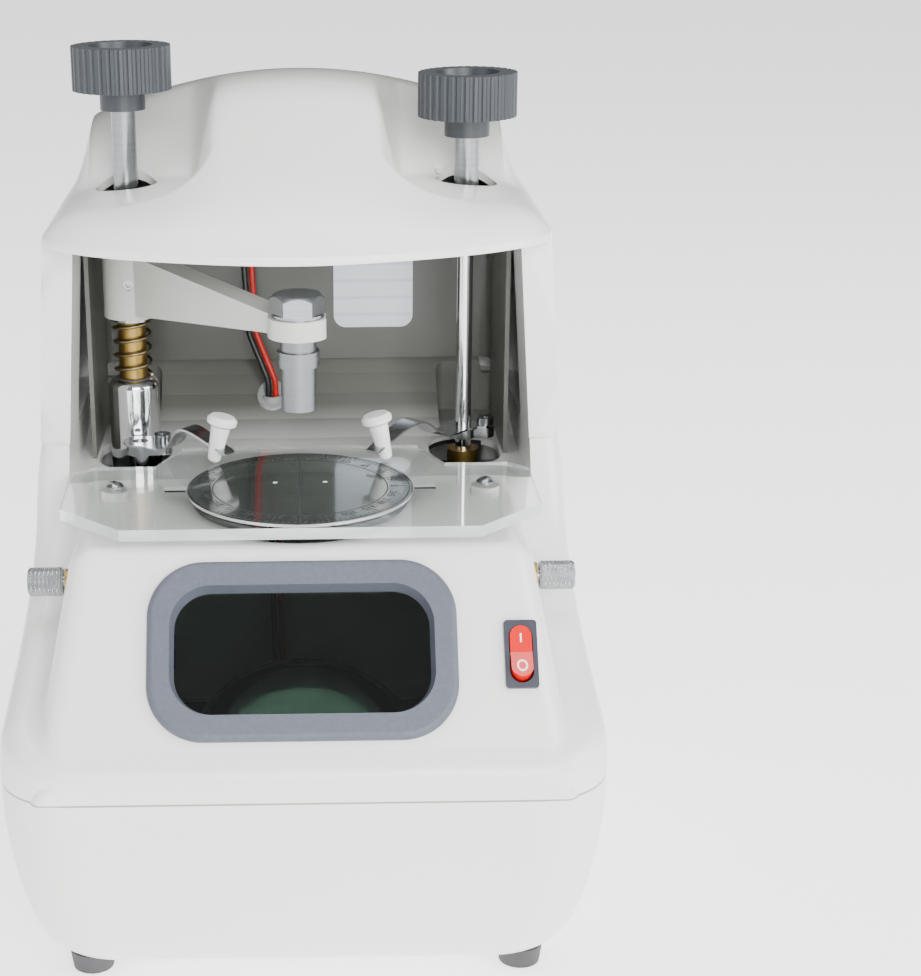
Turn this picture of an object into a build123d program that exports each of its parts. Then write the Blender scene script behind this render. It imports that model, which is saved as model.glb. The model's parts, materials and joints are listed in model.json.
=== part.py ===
from build123d import *
import os
from math import atan2, degrees, hypot, radians, tan

# Lens centring and blocking machine.
# Everything is drawn in the stage's own axes: X to the operator's right, Y away from the operator, Z up,
# with zero at the centre of the stage plate's top face. The last step moves every piece so that the
# object's origin is the middle of its base, on the surface that it stands on.

# --- driving dimensions, millimetres ---
STAGE_HEIGHT = 150.0          # top of the stage plate above the table
STAGE_Y = -25.0               # the stage's centre, from the middle of the base
WALL = 3.0                    # plastic shells
SEAM_GAP = 0.5                # visible line between two shells
SEAM_DEPTH = 1.2
FIT = 0.05                    # radial clearance of a running fit

FOOT_HEIGHT = 7.0
FOOT_RADIUS = 8.0
FOOT_X = 73.5
FOOT_FRONT_Y = -68.0
FOOT_REAR_Y = 112.0
TUB_BOTTOM = -STAGE_HEIGHT + FOOT_HEIGHT
TUB_FLOOR = TUB_BOTTOM + WALL
FEET = [(x, y) for x in (-FOOT_X, FOOT_X) for y in (FOOT_FRONT_Y, FOOT_REAR_Y)]
HOUSING_SCREWS = [(x, y) for x in (-78.0, 78.0) for y in (-38.0, 98.0)]
JACK_X, JACK_Z = -60.0, -118.0
LOW_SEAM = -78.5
HIGH_SEAM = 8.0
DECK = -7.4
BACK_Y = 140.0
FRONT_Y = -90.0
HALF_WIDTH = 101.5

SCREW_SEAT = TUB_BOTTOM + 6.0
BASE_PLATE = 2.0
BOARD = (-10.0, 84.0)
BOARD_TOP = TUB_FLOOR + BASE_PLATE + 7.6
PLUG = (BOARD[0], BOARD[1] + 13.0, BOARD_TOP + 8.0)
BOARD_SCREWS = [(BOARD[0] + dx, BOARD[1] + dy) for dx in (-28.0, 28.0) for dy in (-13.0, 13.0)]
JACK_RADIUS = 2.8
JACK_SEAT = 136.0

# shell outlines: height, half width, front, back, corner radius
TUB_LEVELS = [
    (TUB_BOTTOM, 83.0, -76.0, 126.0, 20.0),
    (TUB_BOTTOM + 4, 89.5, -82.5, 132.5, 24.0),
    (-131.0, 93.8, -85.6, 135.6, 25.0),
    (-116.0, 97.8, -88.0, 138.0, 25.0),
    (-96.0, 100.8, -89.6, 139.6, 25.0),
    (LOW_SEAM, HALF_WIDTH, FRONT_Y, BACK_Y, 25.0),
]
SHOULDER_LEVELS = [
    (LOW_SEAM, HALF_WIDTH, FRONT_Y, BACK_Y, 25.0),
    (-66.0, 101.0, FRONT_Y, BACK_Y, 25.0),
    (-48.0, 98.6, FRONT_Y, 139.6, 25.0),
    (-20.0, 97.0, FRONT_Y, 139.0, 25.0),
    (HIGH_SEAM, 95.0, FRONT_Y, 138.0, 25.0),
]
HOOD_FRONT = 30.0
HOOD_LEVELS = [
    (HIGH_SEAM, 95.0, -40.0, 138.0, 25.0),
    (45.0, 93.2, -40.0, 136.4, 25.0),
    (86.0, 90.5, -40.0, 133.0, 25.0),
]
MOUTH_LOW_HALF, MOUTH_HIGH_HALF = 84.4, 79.7
RIM = 82.5
VISOR_CENTRE_Y = 32.0
VISOR_HALF_WIDTH = 90.5
VISOR_REACH = 42.0
CAP = 96.0                    # floor of the hood's scoops
CAP_BACK = 133.0
CROWN_TOP = 134.0
CROWN_RADIUS = 190.0          # the arch across the hood
RIDGE_HALF, CROWN_HALF = 38.4, 85.0
SCOOP_BACK = 86.0
RIDGE_SLOPE = (72.0, 130.0)   # rise and run of the hood's front face
POST_HOLE_RADIUS = 11.5

# sloped panel, from the deck's front edge down to the chin
PANEL_TOP = (-42.0, DECK)
PANEL_BOTTOM = (-86.0, -66.0)
PANEL_LENGTH = hypot(PANEL_BOTTOM[0] - PANEL_TOP[0], PANEL_BOTTOM[1] - PANEL_TOP[1])
BOX_TOP_HALF = 77.5
BOX_BOTTOM_HALF = 87.5

WINDOW_AT = 35.5              # down the panel
WINDOW_SIZE = (102.8, 61.0)
WINDOW_RADIUS = 19.0
GLASS_VIEW = (86.8, 43.0)
GLASS_RADIUS = 12.5
WINDOW_HOLE = (91.0, 47.0)
SWITCH_X = 72.1
SWITCH_AT = 38.0
SWITCH_SIZE = (10.9, 23.0)
ROCKER_SIZE = (7.2, 18.0)
ROCKER_TILT = 9.0
TILT_RISE = tan(radians(ROCKER_TILT))
ROCKER_PIVOT = -1.0
SWITCH_HOLE = (9.8, 21.4)

# stage
PLATE = 4.0
DISC_RADIUS = 40.0
DISC_THICK = 3.0
APERTURE_RADIUS = 37.5
SCREW_X, SCREW_Y = 66.0, 4.0
KEY_LENGTH, KEY_WIDTH = 8.0, 4.0
DISC_GAP = 0.1
DECK_SLOT = (46.0, 84.2)
DECK_SLOT_RADIUS = 13.5
POCKET = (56.0, 80.0, 84.0, 122.0)

# the two posts
POST_X, POST_Y = 63.4, 70.7
SHAFT_RADIUS = 4.5
SLEEVE_RADIUS = 9.75
SLEEVE_TOP = 22.0
SLEEVE_BOTTOM = -34.0
TUBE_RADIUS = 5.35
BRIDGE_TOP, BRIDGE_THICK = -20.0, 3.0
BRIDGE_SCREWS = [(x, y) for x in (-40.0, 40.0) for y in (56.0, 86.0)]
SLEEVE_NECK = 8.5
SPRING_RADIUS, WIRE_RADIUS = 6.9, 0.6
SEAT_THICK = 1.2
HUB_BOTTOM, HUB_TOP, HUB_RADIUS = 46.5, 73.0, 10.3
EYE_BOTTOM, EYE_TOP, EYE_RADIUS = 55.0, 62.0, 10.5
REACH = hypot(POST_X, POST_Y)
ARM_ANGLE = degrees(atan2(-POST_Y, POST_X))
KNOB_RADIUS, KNOB_HEIGHT = 18.24, 16.0
PRESS_KNOB_TOP = 147.2
CLAMP_KNOB_TOP = 135.9
ROD_RADIUS = 3.0
ROD_TOP = 79.0
CROSSBAR_TOP, CROSSBAR_THICK = -48.0, 4.0
PIN_X, PIN_Y = -60.5, 54.0
PAD_X, PAD_Y = 29.6, 29.0
PAD_LEAN = 13.0
LEAF_THICK = 0.8
LEAF_LEVEL = 0.6
LEAF_ARCH = 8.5
LEAF_FLAT = 11.0
SCREW_EAR = 8.5
KNOB_NECK, KNOB_NECK_RADIUS = 7.2, 8.35
FLUTES, FLUTE_RADIUS, FLUTE_OUT = 36, 1.1, 0.45
ARM_HALF_WIDTH = 5.0
BOLT_RADIUS = 3.0
EYE_FLAT = 9.7
SET_SCREW_Z = 60.0
HOLDER_NECK_BOTTOM = 50.0
HOLDER_BOTTOM = 29.0
SOCKET_RADIUS, SOCKET_DEPTH = 4.0, 9.0

# lamp and upper guides
CEILING = 83.0
CEILING_THICK = 2.0
HOOD_SCREW_X, HOOD_SCREW_Y = 54.5, 79.0
HOOD_SCREW_SEAT = 91.0
LAMP_RADIUS = 5.5
UPPER_BUSH_RADIUS = 7.0
LEAD_GAP = 1.45
WIRE = 1.2
WIRE_X, WIRE_Y = -20.0, 113.0
GROMMET_X, GROMMET_Y = -11.0, 110.0
LINER_HALF, LINER_BACK, LINER_THICK = 79.5, 122.0, 1.6
LINER_FRONT = 60.0
COVE_TOP = 15.0

# side shaft
SIDE_Y, SIDE_Z = -25.0, -25.0
SIDE_RADIUS = 2.5
SIDE_END = 94.5
KNURL_RADIUS, KNURL_LENGTH = 5.0, 12.2
CARRIAGE_X = -55.0
GUIDE_Y, GUIDE_Z = 47.0, -15.0
HANGER_X = 46.5
GUIDE_RADIUS = 2.0
BUSH_RADIUS = 4.5
THREAD_RADIUS = 3.0

MIRROR_Z = -103.0
MIRROR_TILT = 31.0            # from level, facing up and to the front
MIRROR_RADIUS = 41.0
MIRROR_THICK = 3.0
MIRROR_SCREWS = [(x, y) for x in (-37.0, 37.0) for y in (-12.0, 14.0)]


def block(x0, x1, y0, y1, z0, z1):
    return Pos((x0 + x1) / 2, (y0 + y1) / 2, (z0 + z1) / 2) * Box(x1 - x0, y1 - y0, z1 - z0)


def rod(x, y, z0, z1, radius):
    return Pos(x, y, (z0 + z1) / 2) * Cylinder(radius, z1 - z0)


def tube(x, y, z0, z1, outer, inner):
    return rod(x, y, z0, z1, outer) - rod(x, y, z0 - 1, z1 + 1, inner)


def across(x0, x1, y, z, radius):
    return Pos((x0 + x1) / 2, y, z) * Rot(0, 90, 0) * Cylinder(radius, x1 - x0)


def along_depth(x, z, y0, y1, radius):
    return Pos(x, (y0 + y1) / 2, z) * Rot(90, 0, 0) * Cylinder(radius, y1 - y0)


def prism(outline, z0, z1):
    return extrude(Pos(0, 0, z0) * outline, amount=z1 - z0)


def side_prism(points, half_width):
    """A Y-Z outline run along X, both ways from the middle."""
    outline = make_face(Polyline(*[(0, y, z) for y, z in points], close=True))
    return extrude(outline, amount=half_width, dir=(1, 0, 0), both=True)


def level(z, half_width, front, back, corner, inset=0.0):
    radius = max(corner - inset, 1.0)
    outline = RectangleRounded(2 * (half_width - inset), back - front - 2 * inset, radius)
    return Pos(0, (front + back) / 2, z) * outline


def shell_form(levels, inset=0.0):
    return loft([level(*row, inset=inset) for row in levels])


def stretched(levels, below, above):
    """The same outlines with the end levels moved past the ends, so that a hollow breaks through."""
    first, last = levels[0], levels[-1]
    rows = list(levels)
    if below:
        rows = [(first[0] - below,) + first[1:]] + rows
    if above:
        rows = rows + [(last[0] + above,) + last[1:]]
    return rows


def on_panel(along_x, down, out=0.0):
    """A place on the sloped panel: X, distance down from the deck's edge, height off the surface."""
    share = down / PANEL_LENGTH
    y = PANEL_TOP[0] + share * (PANEL_BOTTOM[0] - PANEL_TOP[0])
    z = PANEL_TOP[1] + share * (PANEL_BOTTOM[1] - PANEL_TOP[1])
    normal = (0, (PANEL_BOTTOM[1] - PANEL_TOP[1]) / PANEL_LENGTH, (PANEL_TOP[0] - PANEL_BOTTOM[0]) / PANEL_LENGTH)
    return Plane(
        origin=(along_x, y + out * normal[1], z + out * normal[2]), x_dir=(1, 0, 0), z_dir=normal
    )


def panel_slab(width, height, radius, down, x, low, high):
    outline = on_panel(x, down, low) * RectangleRounded(width, height, radius)
    return extrude(outline, amount=high - low)


# --- housings ---
def chosen(shape, wanted):
    return ShapeList([edge for edge in shape.edges() if wanted(edge.center(), edge)])


def seam_groove(levels, low, high):
    """The ring that opens a fine line along a seam."""
    ring = shell_form(stretched(levels, 2.0, 2.0)) - shell_form(stretched(levels, 2.0, 2.0), SEAM_DEPTH)
    return ring & block(-150, 150, -150, 200, low, high)


def lower_housing():
    tub = shell_form(TUB_LEVELS)
    hollow = shell_form(stretched(TUB_LEVELS, 0, 2.0), WALL)
    tub -= hollow & block(-150, 150, -150, 200, TUB_FLOOR, 0)
    tub -= seam_groove(TUB_LEVELS, LOW_SEAM - SEAM_GAP, 0)
    for x, y in FEET:
        tub -= rod(x, y, TUB_BOTTOM - 1, TUB_FLOOR + 1, 2.1)
    tub -= block(JACK_X - 4.5, JACK_X + 4.5, BACK_Y - 12, BACK_Y + 5, JACK_Z - 5.5, JACK_Z + 5.5)
    tub -= along_depth(JACK_X, JACK_Z, JACK_SEAT, BACK_Y + 5, 7.5)
    for row in range(5):
        slot_y = -25.0 + 12.0 * row
        tub -= block(-32, 32, slot_y, slot_y + 3.0, TUB_BOTTOM - 1, TUB_FLOOR + 1)
    for x, y in HOUSING_SCREWS:
        column = rod(x, y, TUB_BOTTOM + 1, LOW_SEAM, 5.0) & shell_form(TUB_LEVELS)
        tub += column
        tub -= rod(x, y, TUB_BOTTOM - 1, LOW_SEAM + 1, 1.8)
        tub -= rod(x, y, TUB_BOTTOM - 1, SCREW_SEAT, 3.6)
    return tub


def ramp_cutter():
    """What is taken off in front of the pillars and above the shoulders' ramps."""
    slope = Spline(
        (0, -92, -67), (0, -80, -62.5), (0, -60, -55), (0, -36, -46.5), (0, -10, -33), (0, 12, -17), (0, 24, 0),
        (0, HOOD_FRONT, 12)
    )
    above = Polyline((0, HOOD_FRONT, 12), (0, HOOD_FRONT, 40), (0, -140, 40), (0, -140, -67), (0, -92, -67))
    return extrude(make_face([slope, above]), amount=150, dir=(1, 0, 0), both=True)


def shoulder_form(inset=0.0):
    levels = SHOULDER_LEVELS if inset == 0 else stretched(SHOULDER_LEVELS, 3.0, 0)
    shoulders = shell_form(levels, inset)
    shoulders -= Pos(0, inset * 0.6, -inset * 1.1) * ramp_cutter()
    if inset:
        return shoulders & block(-150, 150, -150, 200, -150, HIGH_SEAM - inset)
    rims = chosen(
        shoulders,
        lambda at, edge: 90 < abs(at.X) < 100 and edge.length > 30 and at.Y < 0 and at.Z > -66,
    )
    return fillet(rims, 8.0)


def box_form(inset=0.0):
    """The centre body: sloped panel, deck and cove, with sides that lean in towards the deck."""
    bottom = LOW_SEAM - inset
    deck = DECK - inset
    rear = LINER_BACK + 2 * WALL - inset
    outline = [
        (FRONT_Y + inset, bottom),
        (FRONT_Y + inset, -72.5),
        (PANEL_BOTTOM[0] + inset * 1.05, PANEL_BOTTOM[1]),
        (PANEL_TOP[0] + inset * 0.45, deck),
        (84.0, deck),
        (100.0, deck + 3.2),
        (112.0, deck + 10.4),
        (119.0, deck + 16.9),
        (LINER_BACK, COVE_TOP - inset),
        (rear, COVE_TOP - inset),
        (rear, bottom),
    ]
    body = side_prism(outline, 150)
    slope = (BOX_BOTTOM_HALF - BOX_TOP_HALF) / (DECK - PANEL_BOTTOM[1])
    top_half = BOX_TOP_HALF - inset - slope * 40
    low_half = BOX_BOTTOM_HALF - inset + slope * 20
    wedge = Polyline(
        (-top_half, -150, DECK + 40),
        (top_half, -150, DECK + 40),
        (low_half, -150, PANEL_BOTTOM[1] - 20),
        (-low_half, -150, PANEL_BOTTOM[1] - 20),
        close=True,
    )
    body &= extrude(make_face(wedge), amount=350, dir=(0, 1, 0))
    if inset:
        return body
    body = fillet(chosen(body, lambda at, edge: hypot(at.Y - PANEL_TOP[0], at.Z - DECK) < 1), 7.0)
    sides = chosen(body, lambda at, edge: abs(at.X) > 70 and at.Y < 80 and at.Z > -66.5 and edge.length > 3)
    body = fillet(sides, 9.0)
    return fillet(chosen(body, lambda at, edge: abs(at.X) < 1 and at.Y < -80 and at.Z > -76), 4.0)


def mouth_form(grow=0.0):
    """The space above the deck inside the shoulders, in front of the rear wall."""
    outline = [
        (20 - grow, DECK - grow),
        (84.0, DECK - grow),
        (100.0, DECK + 3.2 - grow),
        (112.0, DECK + 10.4 - grow),
        (119.0, DECK + 16.9 - grow),
        (LINER_BACK + LINER_THICK + grow, COVE_TOP - grow),
        (LINER_BACK + LINER_THICK + grow, COVE_TOP + 30),
        (20 - grow, COVE_TOP + 30),
    ]
    return side_prism(outline, MOUTH_LOW_HALF + grow)


def pocket_form(grow=0.0):
    """Flat floors at deck level in the rear corners."""
    x0, x1, y0, y1 = POCKET
    pockets = Part()
    for side in (-1, 1):
        outline = Pos(side * (x0 + x1) / 2, (y0 + y1) / 2) * RectangleRounded(
            x1 - x0 + 2 * grow, y1 - y0 + 2 * grow, 3.0 + grow
        )
        pockets += prism(outline, DECK - grow, COVE_TOP + 20)
    return pockets


def upper_outside():
    solid = shoulder_form() + box_form()
    joins = chosen(solid, lambda at, edge: 76 < abs(at.X) < 90 and at.Y < 20 and -66 < at.Z < -12)
    return fillet(joins, 8.0) - mouth_form()


def upper_housing():
    outside = upper_outside() - pocket_form()
    hollow = (shoulder_form(WALL) - mouth_form(WALL)) + box_form(WALL)
    shell = outside - (hollow - pocket_form(WALL))
    shell -= rod(0, 0, DECK - WALL - 2, DECK + 2, APERTURE_RADIUS + 0.5)
    for side in (-1, 1):
        shell -= deck_slot(side, DECK - WALL - 2, DECK + 12)
        shell -= rod(side * SCREW_X, SCREW_Y, DECK - WALL - 1, DECK + 1, 1.6)
        shell -= across(side * 82 - 12, side * 82 + 12, SIDE_Y, SIDE_Z, BUSH_RADIUS)
    shell -= panel_slab(*WINDOW_HOLE, 14.5, WINDOW_AT, 0, -8, 4)
    shell -= panel_slab(*SWITCH_HOLE, 0.6, SWITCH_AT, SWITCH_X, -8, 4)
    shell -= rod(GROMMET_X, GROMMET_Y, DECK - 10, COVE_TOP + 5, 4.0)
    for x, y in HOUSING_SCREWS:
        shell += rod(x, y, LOW_SEAM, HIGH_SEAM, 5.0) & outside
        shell -= rod(x, y, LOW_SEAM - 1, LOW_SEAM + 14, 1.3)
    for x, y in BRIDGE_SCREWS:
        shell += tube(x, y, BRIDGE_TOP, DECK - WALL + 0.5, 4.5, 1.3)
    for side in (-1, 1):
        x = side * HANGER_X
        shell += block(x - 2.5, x + 2.5, GUIDE_Y - 3.8, GUIDE_Y + 3.8, GUIDE_Z - 4, DECK - WALL + 0.5)
        shell -= across(x - 5, x + 5, GUIDE_Y, GUIDE_Z, GUIDE_RADIUS)
    return shell


def deck_slot(side, low, high):
    """The long opening in the deck round each post."""
    outline = Pos(side * POST_X, (DECK_SLOT[0] + DECK_SLOT[1]) / 2) * Rot(0, 0, 90) * SlotOverall(
        DECK_SLOT[1] - DECK_SLOT[0], 2 * DECK_SLOT_RADIUS
    )
    return prism(outline, low, high)


def cap_outline(z, inset=0.0):
    """The hood seen from above: an ellipse in front, straight sides and a rounded back."""
    half = VISOR_HALF_WIDTH - inset
    back = CAP_BACK - inset
    corner = 25.0 - inset
    return make_face(
        [
            EllipticalCenterArc((0, VISOR_CENTRE_Y, z), half, VISOR_REACH - inset, 180, arc_size=180),
            Line((half, VISOR_CENTRE_Y, z), (half, back - corner, z)),
            RadiusArc((half, back - corner, z), (half - corner, back, z), -corner),
            Line((half - corner, back, z), (corner - half, back, z)),
            RadiusArc((corner - half, back, z), (-half, back - corner, z), -corner),
            Line((-half, back - corner, z), (-half, VISOR_CENTRE_Y, z)),
        ]
    )


def cap_form(inset=0.0):
    low = RIM if inset == 0 else RIM - 1
    cap = extrude(cap_outline(low, inset), amount=CAP - inset - low)
    return fillet(chosen(cap, lambda at, edge: at.Z > CAP - inset - 0.1), 10.0 - inset)


def dome_form(inset=0.0):
    """The hood's ridge and rear crown: a T seen from above, under an arch and a sloping front."""
    ridge = RIDGE_HALF - inset
    crown = CROWN_HALF - inset
    wall = SCOOP_BACK + inset
    back = CAP_BACK - 2.0 - inset
    plan = make_face(
        Polyline(
            (-ridge, inset - 14), (ridge, inset - 14), (ridge, wall), (crown, wall), (crown, back), (-crown, back),
            (-crown, wall), (-ridge, wall), close=True,
        )
    )
    plan = fillet([v for v in plan.vertices() if abs(v.X) < ridge + 1 and v.Y > 50], 16.0 + inset)
    plan = fillet([v for v in plan.vertices() if abs(v.X) > crown - 1 and v.Y > 100], 24.0 - inset)
    plan = fillet([v for v in plan.vertices() if abs(v.X) > crown - 1 and v.Y < 100], 8.0)
    dome = extrude(Pos(0, 0, 90) * plan, amount=60, taper=12)
    dome &= Pos(0, 50, CROWN_TOP - inset - CROWN_RADIUS) * Rot(90, 0, 0) * Cylinder(CROWN_RADIUS, 240)
    rise, run = RIDGE_SLOPE
    dome &= side_prism(
        [(-40, 60), (-40, 70.6 - inset), (-40 + run, 70.6 + rise - inset), (140, 70.6 + rise - inset), (140, 60)], 120
    )
    if inset:
        return dome
    return fillet(chosen(dome, lambda at, edge: abs(at.X) < 1 and at.Z > 130 and at.Y < 80), 40.0)


def hood():
    cap = cap_form() + dome_form()
    join = chosen(
        cap,
        lambda at, edge: 91 < at.Z < 97
        and abs(at.X) < 86.5
        and abs(abs(at.X) - 80.5) > 0.2
        and hypot(at.X, at.Y) > 1,
    )
    cap = fillet(join, 6.0)
    bosses = Part()
    for side in (-1, 1):
        bosses += rod(side * HOOD_SCREW_X, HOOD_SCREW_Y, CEILING + CEILING_THICK, CAP - 1, 3.4)
    shell = cap + (shell_form(HOOD_LEVELS) & block(-150, 150, HOOD_FRONT, 150, 0, 100))
    mouth_depth = LINER_BACK + LINER_THICK - 20
    shell -= loft(
        [
            Pos(0, 20 + mouth_depth / 2, HIGH_SEAM - 1) * Rectangle(2 * MOUTH_LOW_HALF, mouth_depth),
            Pos(0, 20 + mouth_depth / 2, RIM + 1) * Rectangle(2 * MOUTH_HIGH_HALF, mouth_depth),
        ]
    )
    behind = block(-150, 150, LINER_FRONT, 150, 0, RIM + 1)
    shell -= shell_form(stretched(HOOD_LEVELS, 1, 0), WALL) & behind
    shell -= cap_form(WALL)
    shell -= dome_form(WALL) & block(-150, 150, -150, 200, RIM, 200)
    shell -= seam_groove([HOOD_LEVELS[0], HOOD_LEVELS[1]], HIGH_SEAM - 1, HIGH_SEAM + SEAM_GAP)
    for side in (-1, 1):
        shell -= rod(side * POST_X, POST_Y, RIM, CROWN_TOP, POST_HOLE_RADIUS)
    shell += bosses
    for side in (-1, 1):
        shell -= rod(side * HOOD_SCREW_X, HOOD_SCREW_Y, RIM, CROWN_TOP, 1.3)
        shell -= rod(side * HOOD_SCREW_X, HOOD_SCREW_Y, HOOD_SCREW_SEAT, CROWN_TOP, 2.2)
    return shell


def inner_liner():
    """The grey sheet round the inside of the hood: two sides and a back."""
    corner = 6.0
    depth = LINER_BACK + LINER_THICK - LINER_FRONT + 2 * corner
    middle = LINER_BACK + LINER_THICK - depth / 2
    outline = Pos(0, middle) * RectangleRounded(2 * LINER_HALF, depth, corner)
    outline -= Pos(0, middle) * RectangleRounded(
        2 * (LINER_HALF - LINER_THICK), depth - 2 * LINER_THICK, corner - LINER_THICK
    )
    sheet = prism(outline, DECK + 0.3, CEILING) & block(-150, 150, LINER_FRONT, 150, -50, 150)
    sheet -= block(-150, 150, LINER_BACK - 6, 150, DECK - 1, COVE_TOP)
    return sheet - block(-77.7, 77.7, 90, 150, DECK - 1, COVE_TOP)


def blank_label():
    plate = Plane(origin=(30.5, LINER_BACK, 45.0), x_dir=(1, 0, 0), z_dir=(0, -1, 0))
    return extrude(plate * RectangleRounded(32, 34, 5), amount=0.4)


def hood_ceiling():
    """The plate that closes the hood from below and carries the lamp and the shaft bushes."""
    plate = extrude(cap_outline(CEILING, WALL + 0.3), amount=CEILING_THICK)
    plate -= rod(0, 0, CEILING - 1, CEILING + 3, LAMP_RADIUS)
    plate -= rod(WIRE_X, WIRE_Y, CEILING - 1, CEILING + 3, 3.5)
    for side in (-1, 1):
        plate -= rod(side * POST_X, POST_Y, CEILING - 1, CEILING + 3, UPPER_BUSH_RADIUS)
        plate -= rod(side * HOOD_SCREW_X, HOOD_SCREW_Y, CEILING - 1, CEILING + 3, 1.2)
    return plate


def upper_bushes():
    bushes = []
    for side in (-1, 1):
        bush = rod(side * POST_X, POST_Y, CEILING - 2, CEILING + 7, UPPER_BUSH_RADIUS)
        bush += rod(side * POST_X, POST_Y, CEILING + CEILING_THICK, CEILING + 4, UPPER_BUSH_RADIUS + 1.4)
        bushes.append(bush - rod(side * POST_X, POST_Y, 0, 120, SHAFT_RADIUS + FIT))
    return bushes


def hood_screws():
    return [
        screw(side * HOOD_SCREW_X, HOOD_SCREW_Y, HOOD_SCREW_SEAT, HOOD_SCREW_SEAT - CEILING + 1, 1.2, 2.0, 2.0)
        for side in (-1, 1)
    ]


# --- lamp ---
def lamp_housing():
    cup = rod(0, 0, CEILING - 0.5, CEILING + 5.5, LAMP_RADIUS)
    cup -= rod(0, 0, CEILING - 1, CEILING + 4.2, LAMP_RADIUS - 1)
    cup -= rod(0, 0, CEILING + 4, CEILING + 7, 2.9)
    return cup + tube(0, 0, CEILING + CEILING_THICK, CEILING + 3, LAMP_RADIUS + 1, LAMP_RADIUS - 0.5)


def led_board():
    board = rod(0, 0, CEILING + 3, CEILING + 4.2, LAMP_RADIUS - 1)
    return board + block(-1.5, 1.5, -1.5, 1.5, CEILING + 2.4, CEILING + 3.5)


def lamp_lens():
    ball = Pos(0, 0, CEILING + 5.2) * Sphere(6.5)
    return ball & rod(0, 0, CEILING - 1.6, CEILING + 2, LAMP_RADIUS - 1)


def wire(points, radii):
    path = FilletPolyline(*points, radius=radii)
    start = Plane(origin=path @ 0, z_dir=path % 0)
    return sweep(start * Circle(WIRE), path=path)


def lamp_wire(shift):
    """One of the two lamp leads, from the lamp back over the ceiling, down the wall and into the cove."""
    run = CEILING + CEILING_THICK + 1.6
    points = [
        (shift, 0, CEILING + 4.2),
        (shift, 0, CEILING + 8),
        (shift, 40, run),
        (WIRE_X + shift, 84, run),
        (WIRE_X + shift, WIRE_Y, run),
        (WIRE_X + shift, WIRE_Y, 58),
        (WIRE_X + shift + 1.5, WIRE_Y, 28),
        (GROMMET_X + shift, GROMMET_Y, 9),
        (GROMMET_X + shift, GROMMET_Y, -40),
        (PLUG[0] + shift, PLUG[1], PLUG[2] + 12),
        (PLUG[0] + shift, PLUG[1], PLUG[2]),
    ]
    return wire(points, [2.4, 10, 8, 4, 12, 12, 12, 12, 8])


def wire_grommet():
    """A rubber ring in the cove's wall: a sleeve through the hole and a flange that follows the slope."""
    flange = tube(GROMMET_X, GROMMET_Y, -10, 20, 6.0, 2.9) & mouth_form()
    flange -= Pos(0, 0, 1.2) * mouth_form()
    return flange + tube(GROMMET_X, GROMMET_Y, -3, 3, 4.0, 2.9)


# --- viewing window and mirror ---
def window_bezel():
    rim = panel_slab(*WINDOW_SIZE, WINDOW_RADIUS, WINDOW_AT, 0, 0, 3.0)
    face = on_panel(0, WINDOW_AT, 3.0).origin
    top = chosen(rim, lambda at, edge: abs((at - face).dot(on_panel(0, WINDOW_AT).z_dir)) < 0.1)
    rim = fillet(top, 2.2)
    rim += panel_slab(WINDOW_HOLE[0] - 0.4, WINDOW_HOLE[1] - 0.4, 14.3, WINDOW_AT, 0, -WALL, 0)
    funnel = loft(
        [
            on_panel(0, WINDOW_AT, -WALL - 0.5) * RectangleRounded(GLASS_VIEW[0] - 2, GLASS_VIEW[1] - 2, GLASS_RADIUS),
            on_panel(0, WINDOW_AT, 3.5) * RectangleRounded(GLASS_VIEW[0] + 1, GLASS_VIEW[1] + 1, GLASS_RADIUS + 1.5),
        ]
    )
    return rim - funnel


def window_glass():
    return panel_slab(WINDOW_HOLE[0] + 3, WINDOW_HOLE[1] + 3, 15.0, WINDOW_AT, 0, -WALL - 2.0, -WALL)


def mirror_place(out=0.0):
    return Pos(0, 0, MIRROR_Z) * Rot(MIRROR_TILT, 0, 0) * Pos(0, 0, out)


def mirror():
    """A round mirror under the stage, with a bevelled rim."""
    disc = Cylinder(MIRROR_RADIUS, MIRROR_THICK)
    disc = chamfer(chosen(disc, lambda at, edge: at.Z > MIRROR_THICK / 2 - 0.1), 1.2)
    return mirror_place(-MIRROR_THICK / 2) * disc


def mirror_bracket():
    """A shallow round tray under the mirror, on two folded legs with feet."""
    tray = Cylinder(MIRROR_RADIUS + 2.0, 3.5) - Pos(0, 0, 1.0) * Cylinder(MIRROR_RADIUS + 0.1, 1.5)
    tray = mirror_place(-MIRROR_THICK - 0.25) * tray
    floor = TUB_FLOOR + BASE_PLATE
    above = mirror_place(-MIRROR_THICK - 1.0) * Pos(0, 0, 100) * Box(300, 300, 200)
    legs = Part()
    for side in (-1, 1):
        x = side * 30.0
        legs += block(x - 1, x + 1, -18, 20, floor, MIRROR_Z + 20) - above
        legs += block(*sorted((x, x + side * 11)), -18, 20, floor, floor + 2)
    bracket = tray + legs
    for x, y in MIRROR_SCREWS:
        bracket -= rod(x, y, floor - 1, floor + 3, 1.6)
    return bracket


def screw(x, y, seat, length, radius, head_radius, head_height, pointing=-1):
    """A screw whose head rests on seat; pointing is -1 for a screw that goes down and 1 for one that goes up."""
    head = rod(x, y, min(seat, seat - pointing * head_height), max(seat, seat - pointing * head_height), head_radius)
    end = seat + pointing * length
    socket = rod(x, y, seat - pointing * head_height - 0.7, seat - pointing * head_height + 0.7, head_radius * 0.45)
    return head + rod(x, y, min(seat, end), max(seat, end), radius) - socket


def mirror_screws():
    seat = TUB_FLOOR + BASE_PLATE + 2
    return [screw(x, y, seat, 2 + BASE_PLATE - 0.3, 1.5, 2.8, 2.0) for x, y in MIRROR_SCREWS]


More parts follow.
